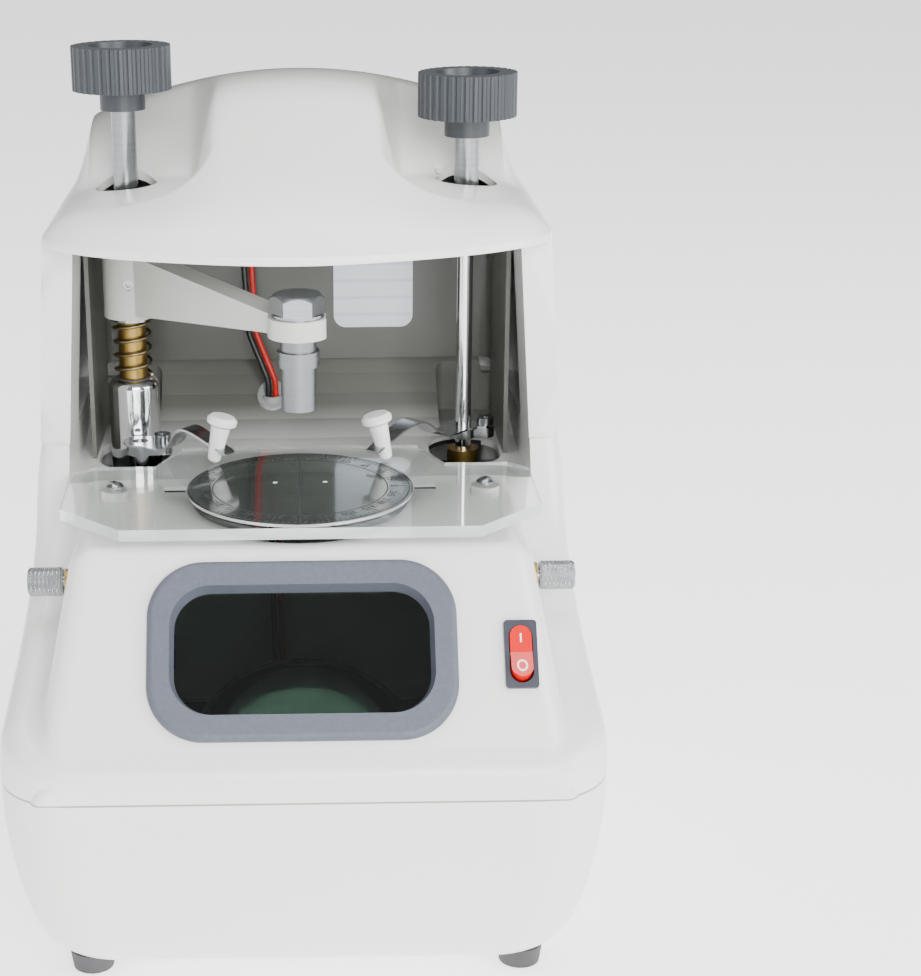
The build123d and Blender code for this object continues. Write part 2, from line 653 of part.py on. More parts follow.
# --- base ---
def base_plate():
    plate = block(-70, 70, -58, 108, TUB_FLOOR, TUB_FLOOR + BASE_PLATE)
    plate -= block(-28, 28, -28, 36, TUB_FLOOR - 1, TUB_FLOOR + BASE_PLATE + 1)
    for x, y in MIRROR_SCREWS + BOARD_SCREWS:
        plate -= rod(x, y, TUB_FLOOR - 1, TUB_FLOOR + BASE_PLATE + 1, 1.5)
    return plate


def rubber_feet():
    low = TUB_BOTTOM - FOOT_HEIGHT
    feet = []
    for x, y in FEET:
        foot = loft([Pos(x, y, low) * Circle(FOOT_RADIUS - 1.0), Pos(x, y, TUB_BOTTOM) * Circle(FOOT_RADIUS)])
        foot -= rod(x, y, low - 1, low + 3.0, 3.6)
        foot -= rod(x, y, low, TUB_BOTTOM + 1, 2.0)
        feet.append(foot)
    return feet


def foot_screws():
    seat = TUB_BOTTOM - FOOT_HEIGHT + 3.0
    return [screw(x, y, seat, FOOT_HEIGHT - 3 + WALL, 2.0, 3.5, 2.2, 1) for x, y in FEET]


def housing_screws():
    return [screw(x, y, SCREW_SEAT, LOW_SEAM - SCREW_SEAT + 10, 1.3, 3.4, 2.4, 1) for x, y in HOUSING_SCREWS]


def driver_board():
    """The lamp's driver: a board with its parts, on four spacers."""
    plate = TUB_FLOOR + BASE_PLATE
    low = plate + 6.0
    board = block(BOARD[0] - 32, BOARD[0] + 32, BOARD[1] - 17, BOARD[1] + 17, low, low + 1.6)
    for x, y in BOARD_SCREWS:
        board += rod(x, y, plate, low, 3.0)
        board -= rod(x, y, plate - 1, low + 3, 1.3)
    board += block(BOARD[0] - 24, BOARD[0] - 10, BOARD[1] - 8, BOARD[1] + 8, low + 1.6, low + 13.0)
    board += rod(BOARD[0] + 4, BOARD[1] + 5, low + 1.6, low + 14, 4.0)
    board += rod(BOARD[0] + 15, BOARD[1] + 5, low + 1.6, low + 11, 3.0)
    board += block(PLUG[0] - 5, PLUG[0] + 5, PLUG[1] - 3, PLUG[1] + 3, low + 1.6, PLUG[2])
    board += block(BOARD[0] - 4, BOARD[0] + 22, BOARD[1] - 12, BOARD[1] - 5, low + 1.6, low + 8.6)
    return board


def dc_jack():
    jack = block(JACK_X - 4.5, JACK_X + 4.5, JACK_SEAT - 12, JACK_SEAT, JACK_Z - 5.5, JACK_Z + 5.5)
    jack += along_depth(JACK_X, JACK_Z, JACK_SEAT, JACK_SEAT + 3.0, 7.5)
    jack -= along_depth(JACK_X, JACK_Z, JACK_SEAT - 6.0, JACK_SEAT + 4.0, JACK_RADIUS)
    return jack + along_depth(JACK_X, JACK_Z, JACK_SEAT - 7.0, JACK_SEAT + 2.0, 1.0)


# --- stage ---
def stage_plate():
    half = [
        (0, -43.5), (60.8, -43.5), (83.2, -20.6), (83.2, 19.0), (76.0, 26.0), (53.0, 26.0), (44.5, 48.5), (0, 50.3)
    ]
    left = [(-x, y) for x, y in reversed(half[1:-1])]
    outline = make_face(Polyline(*half, *left, close=True))
    plate = prism(outline, -PLATE, 0)
    plate -= rod(0, 0, -PLATE - 1, 1, APERTURE_RADIUS)
    plate -= rod(0, 0, -DISC_THICK, 1, DISC_RADIUS + DISC_GAP)
    for side in (-1, 1):
        plate -= rod(side * SCREW_X, SCREW_Y, -PLATE - 1, 1, 1.6)
        plate -= disc_key(side, DISC_RADIUS - 3)
    return plate


def disc_key(side, near=DISC_RADIUS + 0.4):
    """A flat key let into the plate beside the disc."""
    far = DISC_RADIUS + KEY_LENGTH
    return block(min(side * near, side * far), max(side * near, side * far), -KEY_WIDTH / 2, KEY_WIDTH / 2, -2.0, 0)


def disc_keys():
    return [disc_key(side) for side in (-1, 1)]


def reticle_disc():
    return rod(0, 0, -DISC_THICK, 0, DISC_RADIUS)


def stage_standoffs():
    return [tube(side * SCREW_X, SCREW_Y, DECK, -PLATE, 5.0, 1.6) for side in (-1, 1)]


def stage_screws():
    screws = []
    for side in (-1, 1):
        dome = Pos(side * SCREW_X, SCREW_Y, -2.2) * Sphere(4.0)
        dome &= rod(side * SCREW_X, SCREW_Y, 0, 4, 3.2)
        screws.append(dome + rod(side * SCREW_X, SCREW_Y, DECK - WALL - 3, 0, 1.5))
    return screws


# --- switch ---
def switch_place(out=0.0):
    return on_panel(SWITCH_X, SWITCH_AT, out)


def switch_recess(low, high):
    outline = switch_place(low) * Rot(0, 0, 90) * SlotOverall(ROCKER_SIZE[1] + 1.4, ROCKER_SIZE[0] + 0.6)
    return extrude(outline, amount=high - low)


def switch_body():
    body = panel_slab(*SWITCH_SIZE, 1.2, SWITCH_AT, SWITCH_X, 0, 1.6)
    body += panel_slab(*SWITCH_HOLE, 0.6, SWITCH_AT, SWITCH_X, -12, 0)
    body -= switch_recess(-8, 4)
    pin = switch_place(ROCKER_PIVOT) * Rot(0, 90, 0) * Cylinder(1.0, SWITCH_HOLE[0] - 1.0)
    body += pin
    for step in (-1, 0, 1):
        lug = switch_place(-12) * Pos(0, step * 6, -3) * Box(4.0, 0.8, 6.0)
        body += lug
    return body


def switch_rocker():
    """The rocker, whose two faces meet in a shallow V, tipped to its rest side."""
    length, width = ROCKER_SIZE[1], ROCKER_SIZE[0]
    solid = extrude(Pos(0, 0, -2.2) * Rot(0, 0, 90) * SlotOverall(length, width), amount=9.2)
    faces = Polyline((-12, 12), (-12, 3.0 + 12 * TILT_RISE), (0, 3.0), (12, 3.0 + 12 * TILT_RISE), (12, 12), close=True)
    cut = extrude(Plane.YZ * make_face(faces), amount=10, both=True)
    solid -= cut
    solid -= Rot(0, 90, 0) * Cylinder(1.0 + FIT, 20)
    return switch_place(ROCKER_PIVOT) * Rot(-ROCKER_TILT, 0, 0) * solid


# --- left post: press and block arm ---
def deck_bridge():
    """The steel plate under the deck that carries both posts' guides."""
    plate = block(-79, 79, 48, 92, BRIDGE_TOP - BRIDGE_THICK, BRIDGE_TOP)
    plate -= rod(-POST_X, POST_Y, -50, 0, SLEEVE_NECK)
    plate -= rod(POST_X, POST_Y, -50, 0, 6.0)
    plate -= rod(PIN_X, PIN_Y, -50, 0, 4.2)
    plate -= rod(GROMMET_X, GROMMET_Y, -50, 0, 6)
    for x, y in BRIDGE_SCREWS:
        plate -= rod(x, y, -50, 0, 1.6)
    return plate


def bridge_screws():
    seat = BRIDGE_TOP - BRIDGE_THICK
    return [screw(x, y, seat, BRIDGE_THICK + 6, 1.3, 2.8, 2.0, 1) for x, y in BRIDGE_SCREWS]


def chrome_sleeve():
    sleeve = rod(-POST_X, POST_Y, BRIDGE_TOP, SLEEVE_TOP, SLEEVE_RADIUS)
    sleeve = fillet(chosen(sleeve, lambda at, edge: at.Z > SLEEVE_TOP - 0.1), 3.2)
    sleeve += rod(-POST_X, POST_Y, SLEEVE_BOTTOM, BRIDGE_TOP, SLEEVE_NECK)
    sleeve -= rod(-POST_X, POST_Y, SLEEVE_TOP - 2, SLEEVE_TOP + 1, 6.6)
    return sleeve - rod(-POST_X, POST_Y, -60, 60, TUBE_RADIUS + FIT)


def sleeve_wiper():
    return tube(-POST_X, POST_Y, SLEEVE_TOP - 2, SLEEVE_TOP + 0.4, 6.6, TUBE_RADIUS + FIT)


def sleeve_nut():
    top = BRIDGE_TOP - BRIDGE_THICK
    return tube(-POST_X, POST_Y, top - 7, top, 10.7, SLEEVE_NECK)


def brass_tube():
    return tube(-POST_X, POST_Y, -14.0, HUB_BOTTOM - 0.2, TUBE_RADIUS, SHAFT_RADIUS + FIT)


def spring_seat():
    return tube(-POST_X, POST_Y, HUB_BOTTOM - 0.2 - SEAT_THICK, HUB_BOTTOM - 0.2, 8.2, TUBE_RADIUS)


def coil(x, y, low, high, radius, wire_radius, turns):
    height = high - low - 2 * wire_radius
    helix = Pos(x, y, low + wire_radius) * Helix(height / turns, height, radius)
    section = Plane(origin=helix @ 0, z_dir=helix % 0) * Circle(wire_radius)
    return sweep(section, path=helix)


def press_spring():
    low = SLEEVE_TOP + 0.4
    return coil(-POST_X, POST_Y, low, HUB_BOTTOM - 0.2 - SEAT_THICK, SPRING_RADIUS, WIRE_RADIUS, 4.0)


def press_shaft():
    return rod(-POST_X, POST_Y, -13.0, PRESS_KNOB_TOP - 6, SHAFT_RADIUS)


def fluted_knob(x, y, top):
    """A knob with flutes round its rim, a dished top and a neck that the shaft enters."""
    flutes = PolarLocations(KNOB_RADIUS + FLUTE_OUT, FLUTES)
    outline = Circle(KNOB_RADIUS) - flutes * Circle(FLUTE_RADIUS)
    knob = extrude(Pos(x, y, top - KNOB_HEIGHT) * outline, amount=KNOB_HEIGHT)
    knob -= Pos(x, y, top - 1.6) * Cone(10.6, 11.8, 3.4)
    knob += rod(x, y, top - KNOB_HEIGHT - KNOB_NECK, top - KNOB_HEIGHT, KNOB_NECK_RADIUS)
    return knob - rod(x, y, top - KNOB_HEIGHT - KNOB_NECK - 1, top - 6, SHAFT_RADIUS)


def press_knob():
    return fluted_knob(-POST_X, POST_Y, PRESS_KNOB_TOP)


def block_arm():
    """The cast arm: a tall hub on the shaft, a tapering web and an eye over the stage's centre."""
    hub = rod(0, 0, HUB_BOTTOM, HUB_TOP, HUB_RADIUS)
    web = make_face(
        Polyline(
            (0, 0, HUB_BOTTOM + 1), (0, 0, HUB_TOP - 1), (REACH - 9.5, 0, EYE_TOP), (REACH, 0, EYE_TOP),
            (REACH, 0, EYE_BOTTOM), (REACH - 12, 0, EYE_BOTTOM), close=True,
        )
    )
    arm = hub + extrude(web, amount=ARM_HALF_WIDTH, dir=(0, 1, 0), both=True)
    arm += rod(REACH, 0, EYE_BOTTOM, EYE_TOP, EYE_RADIUS)
    arm -= rod(0, 0, 0, 100, SHAFT_RADIUS)
    arm -= rod(REACH, 0, 0, 100, BOLT_RADIUS)
    arm = Pos(-POST_X, POST_Y, 0) * Rot(0, 0, ARM_ANGLE) * arm
    arm -= block(EYE_FLAT, EYE_FLAT + 20, -20, 20, 0, 100)
    arm -= set_screw_hole(7.0)
    return arm


def set_screw_hole(depth):
    """A cylinder that enters the hub from the front."""
    return Pos(-POST_X, POST_Y - HUB_RADIUS + depth / 2 - 1, SET_SCREW_Z) * Rot(90, 0, 0) * Cylinder(2.0, depth + 2)


def arm_set_screw():
    solid = set_screw_hole(7.0) & block(-80, -40, POST_Y - HUB_RADIUS + 0.8, POST_Y - SHAFT_RADIUS, 0, 100)
    return solid - Pos(-POST_X, POST_Y - HUB_RADIUS + 0.8, SET_SCREW_Z) * Rot(90, 0, 0) * extrude(
        RegularPolygon(1.1, 6), amount=1.5, both=True
    )


def holder_bolt():
    """A flanged hexagon bolt through the eye, whose shank screws into the holder."""
    low = EYE_TOP + 1.2
    head = extrude(Pos(0, 0, low) * RegularPolygon(8.5, 6, major_radius=False), amount=6.8)
    head &= Pos(0, 0, low - 3.2) * Sphere(12.8)
    head += rod(0, 0, EYE_TOP, low, 9.2)
    return head + rod(0, 0, HOLDER_NECK_BOTTOM - 4, low, BOLT_RADIUS)


def block_holder():
    """The turned holder under the arm: a neck, a collar, a barrel and a socket for a lens block's stem."""
    holder = rod(0, 0, HOLDER_NECK_BOTTOM, EYE_BOTTOM, 6.3)
    holder += rod(0, 0, 44.5, HOLDER_NECK_BOTTOM, 7.35)
    holder += rod(0, 0, HOLDER_BOTTOM, 44.5, 6.15)
    holder -= rod(0, 0, HOLDER_NECK_BOTTOM - 4, EYE_BOTTOM + 1, BOLT_RADIUS)
    return holder - rod(0, 0, HOLDER_BOTTOM - 1, HOLDER_BOTTOM + SOCKET_DEPTH, SOCKET_RADIUS)


# --- right post: lens clamp ---
def clamp_knob():
    return fluted_knob(POST_X, POST_Y, CLAMP_KNOB_TOP)


def clamp_shaft():
    shaft = rod(POST_X, POST_Y, ROD_TOP - 3, CLAMP_KNOB_TOP - 6, SHAFT_RADIUS)
    return shaft - rod(POST_X, POST_Y, 0, ROD_TOP + 6, ROD_RADIUS)


def clamp_rod():
    return rod(POST_X, POST_Y, CROSSBAR_TOP - CROSSBAR_THICK, ROD_TOP + 6, ROD_RADIUS)


def left_pin():
    return rod(PIN_X, PIN_Y, CROSSBAR_TOP - CROSSBAR_THICK, LEAF_LEVEL, ROD_RADIUS)


def rod_guide():
    guide = rod(POST_X, POST_Y, BRIDGE_TOP - BRIDGE_THICK, BRIDGE_TOP + 12, 6.0)
    guide += rod(POST_X, POST_Y, BRIDGE_TOP, BRIDGE_TOP + 2.5, 9.0)
    return guide - rod(POST_X, POST_Y, -60, 60, ROD_RADIUS + FIT)


def pin_guide():
    return tube(PIN_X, PIN_Y, BRIDGE_TOP - BRIDGE_THICK, BRIDGE_TOP + 4, 4.2, ROD_RADIUS + FIT)


def crossbar():
    low = CROSSBAR_TOP - CROSSBAR_THICK
    bar = rod(POST_X, POST_Y, low, CROSSBAR_TOP, 7.5) + rod(PIN_X, PIN_Y, low, CROSSBAR_TOP, 7.5)
    span = hypot(POST_X - PIN_X, POST_Y - PIN_Y)
    turn = degrees(atan2(POST_Y - PIN_Y, POST_X - PIN_X))
    middle = Pos((POST_X + PIN_X) / 2, (POST_Y + PIN_Y) / 2, low + CROSSBAR_THICK / 2)
    bar += middle * Rot(0, 0, turn) * Box(span, 11, CROSSBAR_THICK)
    return bar - rod(POST_X, POST_Y, -80, 0, ROD_RADIUS) - rod(PIN_X, PIN_Y, -80, 0, ROD_RADIUS)


def clamp_spring():
    return coil(POST_X, POST_Y, CROSSBAR_TOP, BRIDGE_TOP - BRIDGE_THICK, 5.2, 0.6, 5.0)


def leaf_root(side):
    return (POST_X, POST_Y) if side > 0 else (PIN_X, PIN_Y)


def leaf_arm(side):
    """A thin arched strip from its post to just past the lens pad, as a side view given a width."""
    x, y = leaf_root(side)
    reach = hypot(x - side * PAD_X, y - PAD_Y)
    turn = degrees(atan2(PAD_Y - y, side * PAD_X - x))
    low = LEAF_LEVEL
    flat = Line((0, 0, low), (LEAF_FLAT, 0, low))
    crest = Spline(
        (LEAF_FLAT, 0, low), (0.55 * reach, 0, low + LEAF_ARCH), (reach + 5, 0, low + 0.45 * LEAF_ARCH),
        tangents=[(1, 0, 0), (1, 0, -0.3)],
    )
    lift = Pos(0, 0, LEAF_THICK)
    rise = Vector(0, 0, LEAF_THICK)
    ends = [Line(flat @ 0, (flat @ 0) + rise), Line(crest @ 1, (crest @ 1) + rise)]
    side_view = make_face([flat, crest, lift * crest, lift * flat] + ends)
    strip = extrude(side_view, amount=10, dir=(0, 1, 0), both=True)
    plan = Polyline((0, 5.0), (12, 5.0), (reach + 5, 2.8), (reach + 5, -2.8), (12, -5.0), (0, -5.0), close=True)
    strip &= prism(make_face(plan), low - 5, low + 20)
    strip += rod(0, 0, low, low + LEAF_THICK, 6.5)
    strip = Pos(x, y, 0) * Rot(0, 0, turn) * strip
    strip += block(*sorted((x, x + SCREW_EAR)), y - 4.0, y + 4.0, low, low + LEAF_THICK)
    strip -= rod(x, y, -80, 80, ROD_RADIUS)
    strip -= rod(x + SCREW_EAR, y, -80, 80, 1.5)
    return strip - lens_pad(side)


def lens_pad(side):
    """A white plastic pad: a round cap on a stem that tapers to a tip; it leans in at the top."""
    profile = make_face(
        Polyline(
            (0, 0, 0.6), (1.6, 0, 0), (2.4, 0, 0.8), (3.5, 0, 12.0), (3.6, 0, 13.6), (5.5, 0, 14.8), (5.6, 0, 16.4),
            (4.4, 0, 17.6), (0, 0, 17.9), close=True,
        )
    )
    pad = revolve(profile, axis=Axis.Z)
    return Pos(side * (PAD_X + 2.2), PAD_Y, 0.9) * Rot(0, -side * PAD_LEAN, 0) * pad


def leaf_clamps():
    """A collar under each leaf's root, with an ear for its screw."""
    clamps = []
    for side in (-1, 1):
        x, y = leaf_root(side)
        collar = rod(x, y, LEAF_LEVEL - 4, LEAF_LEVEL, 5.2)
        collar += block(*sorted((x, x + SCREW_EAR)), y - 3.5, y + 3.5, LEAF_LEVEL - 4, LEAF_LEVEL)
        collar += rod(x + SCREW_EAR, y, LEAF_LEVEL - 4, LEAF_LEVEL, 3.5)
        collar -= rod(x, y, -80, 80, ROD_RADIUS)
        clamps.append(collar - rod(x + SCREW_EAR, y, -80, 80, 1.5))
    return clamps


def clamp_screws():
    screws = []
    for side in (-1, 1):
        x, y = leaf_root(side)
        screws.append(screw(x + SCREW_EAR, y, LEAF_LEVEL + LEAF_THICK, LEAF_THICK + 3.6, 1.5, 3.2, 2.8))
    return screws


# --- side shaft and line carriage ---
def line_shaft():
    shaft = across(-SIDE_END + 2, SIDE_END - 2, SIDE_Y, SIDE_Z, SIDE_RADIUS)
    return shaft + across(CARRIAGE_X - 17, CARRIAGE_X + 17, SIDE_Y, SIDE_Z, THREAD_RADIUS)


def knurled_knob(side):
    inner = SIDE_END - KNURL_LENGTH
    knob = across(*sorted((side * inner, side * SIDE_END)), SIDE_Y, SIDE_Z, KNURL_RADIUS)
    knob = chamfer(knob.edges(), 0.6)
    return knob - across(*sorted((side * (inner - 1), side * (SIDE_END - 2))), SIDE_Y, SIDE_Z, SIDE_RADIUS)


def shaft_bushes():
    bushes = []
    for side in (-1, 1):
        bush = across(*sorted((side * 75.5, side * 81.6)), SIDE_Y, SIDE_Z, BUSH_RADIUS)
        bush += across(*sorted((side * 73.0, side * 75.5)), SIDE_Y, SIDE_Z, BUSH_RADIUS + 1.5)
        bushes.append(bush - across(-100, 100, SIDE_Y, SIDE_Z, SIDE_RADIUS + FIT))
    return bushes


def guide_rod():
    return across(-HANGER_X - 3, HANGER_X + 3, GUIDE_Y, GUIDE_Z, GUIDE_RADIUS)


def line_carriage():
    """The sliding frame under the deck: a nut on the side shaft, a frame for the line glass and a rear ear."""
    low, high = -17.0, -13.5
    frame = block(-44, 44, -42, 42.5, low, high) - block(-38.5, 38.5, -38.5, 38.5, low - 1, high + 1)
    frame -= block(-40, 40, -40, 40, -15.0, high + 1)
    frame += block(CARRIAGE_X + 5, -43.9, SIDE_Y - 6, SIDE_Y + 6, low, high)
    frame += block(CARRIAGE_X - 6, CARRIAGE_X + 6, SIDE_Y - 6, SIDE_Y + 6, SIDE_Z - 6, high)
    frame += block(-9, 9, 38.6, GUIDE_Y + 4, GUIDE_Z - 4, GUIDE_Z + 4)
    frame -= across(-90, 90, GUIDE_Y, GUIDE_Z, GUIDE_RADIUS + FIT)
    return frame - across(-90, 0, SIDE_Y, SIDE_Z, THREAD_RADIUS + FIT)


def line_glass():
    return block(-39.9, 39.9, -39.9, 38.5, -15.0, -13.5)


PIECES = {
    "lower_housing": lower_housing,
    "base_plate": base_plate,
    "rubber_feet": rubber_feet,
    "upper_housing": upper_housing,
    "case_screws": lambda: foot_screws() + housing_screws() + hood_screws(),
    "hood": hood,
    "hood_ceiling": hood_ceiling,
    "inner_liner": inner_liner,
    "blank_label": blank_label,
    "upper_bushes": upper_bushes,
    "window_bezel": window_bezel,
    "window_glass": window_glass,
    "mirror": mirror,
    "mirror_bracket": mirror_bracket,
    "stage_plate": stage_plate,
    "reticle_disc": reticle_disc,
    "disc_keys": disc_keys,
    "stage_standoffs": stage_standoffs,
    "stage_screws": stage_screws,
    "switch_body": switch_body,
    "lamp_housing": lamp_housing,
    "led_board": led_board,
    "lamp_lens": lamp_lens,
    "lamp_wire_red": lambda: lamp_wire(LEAD_GAP),
    "lamp_wire_black": lambda: lamp_wire(-LEAD_GAP),
    "wire_grommet": wire_grommet,
    "driver_board": driver_board,
    "dc_jack": dc_jack,
    "deck_bridge": deck_bridge,
    "inner_screws": lambda: mirror_screws() + bridge_screws(),
    "chrome_sleeve": chrome_sleeve,
    "sleeve_wiper": sleeve_wiper,
    "sleeve_nut": sleeve_nut,
    "clamp_guides": lambda: [rod_guide(), pin_guide()],
    "shaft_bushes": shaft_bushes,
    "guide_rod": guide_rod,
    "brass_tube": brass_tube,
    "spring_seat": spring_seat,
    "press_spring": press_spring,
    "press_shaft": press_shaft,
    "press_knob": press_knob,
    "block_arm": block_arm,
    "arm_set_screw": arm_set_screw,
    "holder_bolt": holder_bolt,
    "block_holder": block_holder,
    "clamp_knob": clamp_knob,
    "clamp_shaft": clamp_shaft,
    "clamp_rod": clamp_rod,
    "left_pin": left_pin,
    "crossbar": crossbar,
    "clamp_spring": clamp_spring,
    "leaf_arms": lambda: [leaf_arm(-1), leaf_arm(1)],
    "lens_pads": lambda: [lens_pad(-1), lens_pad(1)],
    "leaf_clamps": leaf_clamps,
    "clamp_screws": clamp_screws,
    "switch_rocker": switch_rocker,
    "line_shaft": line_shaft,
    "knurled_knobs": lambda: [knurled_knob(-1), knurled_knob(1)],
    "line_carriage": line_carriage,
    "line_glass": line_glass,
}


def main():
    os.makedirs("parts", exist_ok=True)
    to_base = Pos(0, STAGE_Y, STAGE_HEIGHT)
    for name, make in PIECES.items():
        shape = make()
        solids = shape if isinstance(shape, list) else [shape]
        placed = [to_base * solid for solid in solids]
        whole = placed[0] if len(placed) == 1 else Compound(children=placed)
        export_step(whole, f"parts/{name}.step")


main()
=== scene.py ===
import json
from math import cos, exp, hypot, log, pi, radians, sin, tan

import bpy
from mathutils import Matrix, Vector

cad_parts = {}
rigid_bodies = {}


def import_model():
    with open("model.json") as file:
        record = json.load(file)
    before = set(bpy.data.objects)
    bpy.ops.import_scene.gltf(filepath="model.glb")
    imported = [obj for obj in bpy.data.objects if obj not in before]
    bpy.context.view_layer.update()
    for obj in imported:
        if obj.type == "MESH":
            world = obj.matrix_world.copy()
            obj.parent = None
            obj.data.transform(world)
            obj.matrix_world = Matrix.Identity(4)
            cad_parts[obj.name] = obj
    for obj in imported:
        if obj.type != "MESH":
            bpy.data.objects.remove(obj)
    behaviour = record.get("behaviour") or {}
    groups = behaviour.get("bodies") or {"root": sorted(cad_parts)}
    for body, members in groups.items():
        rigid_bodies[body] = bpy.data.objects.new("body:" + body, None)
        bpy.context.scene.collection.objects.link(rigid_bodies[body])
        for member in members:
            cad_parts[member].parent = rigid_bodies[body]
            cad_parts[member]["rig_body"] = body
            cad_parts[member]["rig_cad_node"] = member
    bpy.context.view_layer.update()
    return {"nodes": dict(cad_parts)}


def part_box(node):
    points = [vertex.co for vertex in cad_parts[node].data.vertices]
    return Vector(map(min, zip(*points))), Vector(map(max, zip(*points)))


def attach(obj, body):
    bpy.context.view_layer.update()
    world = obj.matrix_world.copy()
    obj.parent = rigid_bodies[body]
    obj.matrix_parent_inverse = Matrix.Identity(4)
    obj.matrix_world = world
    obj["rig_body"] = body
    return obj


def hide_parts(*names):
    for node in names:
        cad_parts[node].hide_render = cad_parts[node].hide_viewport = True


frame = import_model()

# --- rubber feet and the case's screws ---
# Four moulded nitrile feet, each held up into the tub by one screw, and the zinc plated
# screws that clamp the tub to the upper housing from below.


def linear(code):
    """An sRGB hex colour as the linear colour that shaders take."""
    parts = [int(code[i:i + 2], 16) / 255 for i in (1, 3, 5)]
    return tuple(p / 12.92 if p <= 0.04045 else ((p + 0.055) / 1.055) ** 2.4 for p in parts) + (1.0,)


def node(tree, kind, inputs=None, **settings):
    """Adds one node: its settings, then each input's value or the socket that feeds it."""
    made = tree.nodes.new(kind)
    for name, value in settings.items():
        setattr(made, name, value)
    for name, value in (inputs or {}).items():
        if isinstance(value, bpy.types.NodeSocket):
            tree.links.new(value, made.inputs[name])
        else:
            made.inputs[name].default_value = value
    return made


def new_material(name):
    made = bpy.data.materials.new(name)
    made.use_nodes = True
    made.node_tree.nodes.clear()
    return made, made.node_tree


def give(material, *names):
    """Puts one material on CAD nodes."""
    for name in names:
        slots = frame["nodes"][name].data.materials
        slots.clear()
        slots.append(material)


# Nitrile rubber: black, dull, with a fine moulded grain and a little dust.
rubber, tree = new_material("nitrile rubber")
place = node(tree, "ShaderNodeTexCoord").outputs["Object"]
grain = node(tree, "ShaderNodeTexNoise", {"Vector": place, "Scale": 900.0, "Detail": 3.0})
dust = node(tree, "ShaderNodeTexNoise", {"Vector": place, "Scale": 60.0, "Detail": 4.0})
tone = node(
    tree, "ShaderNodeMix", {0: dust.outputs["Fac"], 6: linear("#2A2A2C"), 7: linear("#4E4E50")},
    data_type="RGBA",
)
bump = node(tree, "ShaderNodeBump", {"Strength": 0.4, "Distance": 0.0002, "Height": grain.outputs["Fac"]})
skin = node(
    tree, "ShaderNodeBsdfPrincipled", {"Base Color": tone.outputs[2], "Roughness": 0.62, "Normal": bump.outputs[0]},
)
node(tree, "ShaderNodeOutputMaterial", {"Surface": skin.outputs[0]})
give(rubber, "rubber_feet", "sleeve_wiper")

# Turned steel: bright, with fine rings left by the tool, drawn as noise stretched along the axis.
steel, tree = new_material("turned steel")
place = node(tree, "ShaderNodeTexCoord").outputs["Object"]
rings = node(tree, "ShaderNodeMapping", {"Vector": place, "Scale": (40.0, 40.0, 2600.0)})
mark = node(tree, "ShaderNodeTexNoise", {"Vector": rings.outputs[0], "Scale": 1.0, "Detail": 2.0})
tone = node(
    tree, "ShaderNodeMix", {0: mark.outputs["Fac"], 6: linear("#7E8184"), 7: linear("#A3A6A8")},
    data_type="RGBA",
)
rough = node(tree, "ShaderNodeMapRange", {"Value": mark.outputs["Fac"], "To Min": 0.14, "To Max": 0.26})
bump = node(tree, "ShaderNodeBump", {"Strength": 0.12, "Distance": 0.0001, "Height": mark.outputs["Fac"]})
skin = node(
    tree, "ShaderNodeBsdfPrincipled",
    {"Base Color": tone.outputs[2], "Metallic": 1.0, "Roughness": rough.outputs[0], "Normal": bump.outputs[0]},
)
node(tree, "ShaderNodeOutputMaterial", {"Surface": skin.outputs[0]})
give(steel, "case_screws", "inner_screws", "stage_screws", "sleeve_nut", "guide_rod")
give(steel, "spring_seat", "arm_set_screw", "crossbar", "left_pin", "leaf_clamps", "clamp_screws", "line_shaft")

# --- lower tub and upper housing ---
# Two thick ABS shells, sprayed with satin off-white enamel outside. Inside the walls they are drawn matt black: partly
# a black finish, partly painted shade standing in for the dark inside of the closed case.
enamel, tree = new_material("satin white enamel")
place = node(tree, "ShaderNodeTexCoord").outputs["Object"]
peel = node(tree, "ShaderNodeTexNoise", {"Vector": place, "Scale": 520.0, "Detail": 1.5, "Roughness": 0.4})
cloud = node(tree, "ShaderNodeTexNoise", {"Vector": place, "Scale": 9.0, "Detail": 3.0})
tone = node(
    tree, "ShaderNodeMix", {0: cloud.outputs["Fac"], 6: linear("#DEDFDC"), 7: linear("#E4E5E2")},
    data_type="RGBA",
)
speck = node(tree, "ShaderNodeTexVoronoi", {"Vector": place, "Scale": 260.0, "Randomness": 1.0})
fleck = node(tree, "ShaderNodeMapRange", {"Value": speck.outputs["Distance"], "From Min": 0.03, "From Max": 0.07})
tone = node(tree, "ShaderNodeMix", {0: fleck.outputs[0], 6: linear("#D2D2CE"), 7: tone.outputs[2]}, data_type="RGBA")
axes = node(tree, "ShaderNodeSeparateXYZ", {"Vector": place})
# A dark line is painted round the shells at the joint between tub and housing: painted shade standing in for the
# shadow in the seam's groove, with some dirt in the joint.
joint_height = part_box("upper_housing")[0][2] + 0.0001
off_joint = node(tree, "ShaderNodeMath", {0: axes.outputs["Z"], 1: joint_height}, operation="SUBTRACT")
off_joint = node(tree, "ShaderNodeMath", {0: off_joint.outputs[0]}, operation="ABSOLUTE")
joint_shade_and_grime = node(tree, "ShaderNodeMapRange", {"Value": off_joint.outputs[0], "From Min": 0.00022, "From Max": 0.0005})
tone = node(tree, "ShaderNodeMix", {0: joint_shade_and_grime.outputs[0], 6: linear("#8A8A86"), 7: tone.outputs[2]}, data_type="RGBA")
rough = node(tree, "ShaderNodeMapRange", {"Value": cloud.outputs["Fac"], "To Min": 0.30, "To Max": 0.38})
bump = node(tree, "ShaderNodeBump", {"Strength": 0.10, "Distance": 0.0002, "Height": peel.outputs["Fac"]})
skin = node(
    tree, "ShaderNodeBsdfPrincipled",
    {"Base Color": tone.outputs[2], "Roughness": rough.outputs[0], "Coat Weight": 0.25, "Coat Roughness": 0.18,
     "Normal": bump.outputs[0]},
)
inside = node(tree, "ShaderNodeBsdfPrincipled", {"Base Color": linear("#17181A"), "Roughness": 0.85})
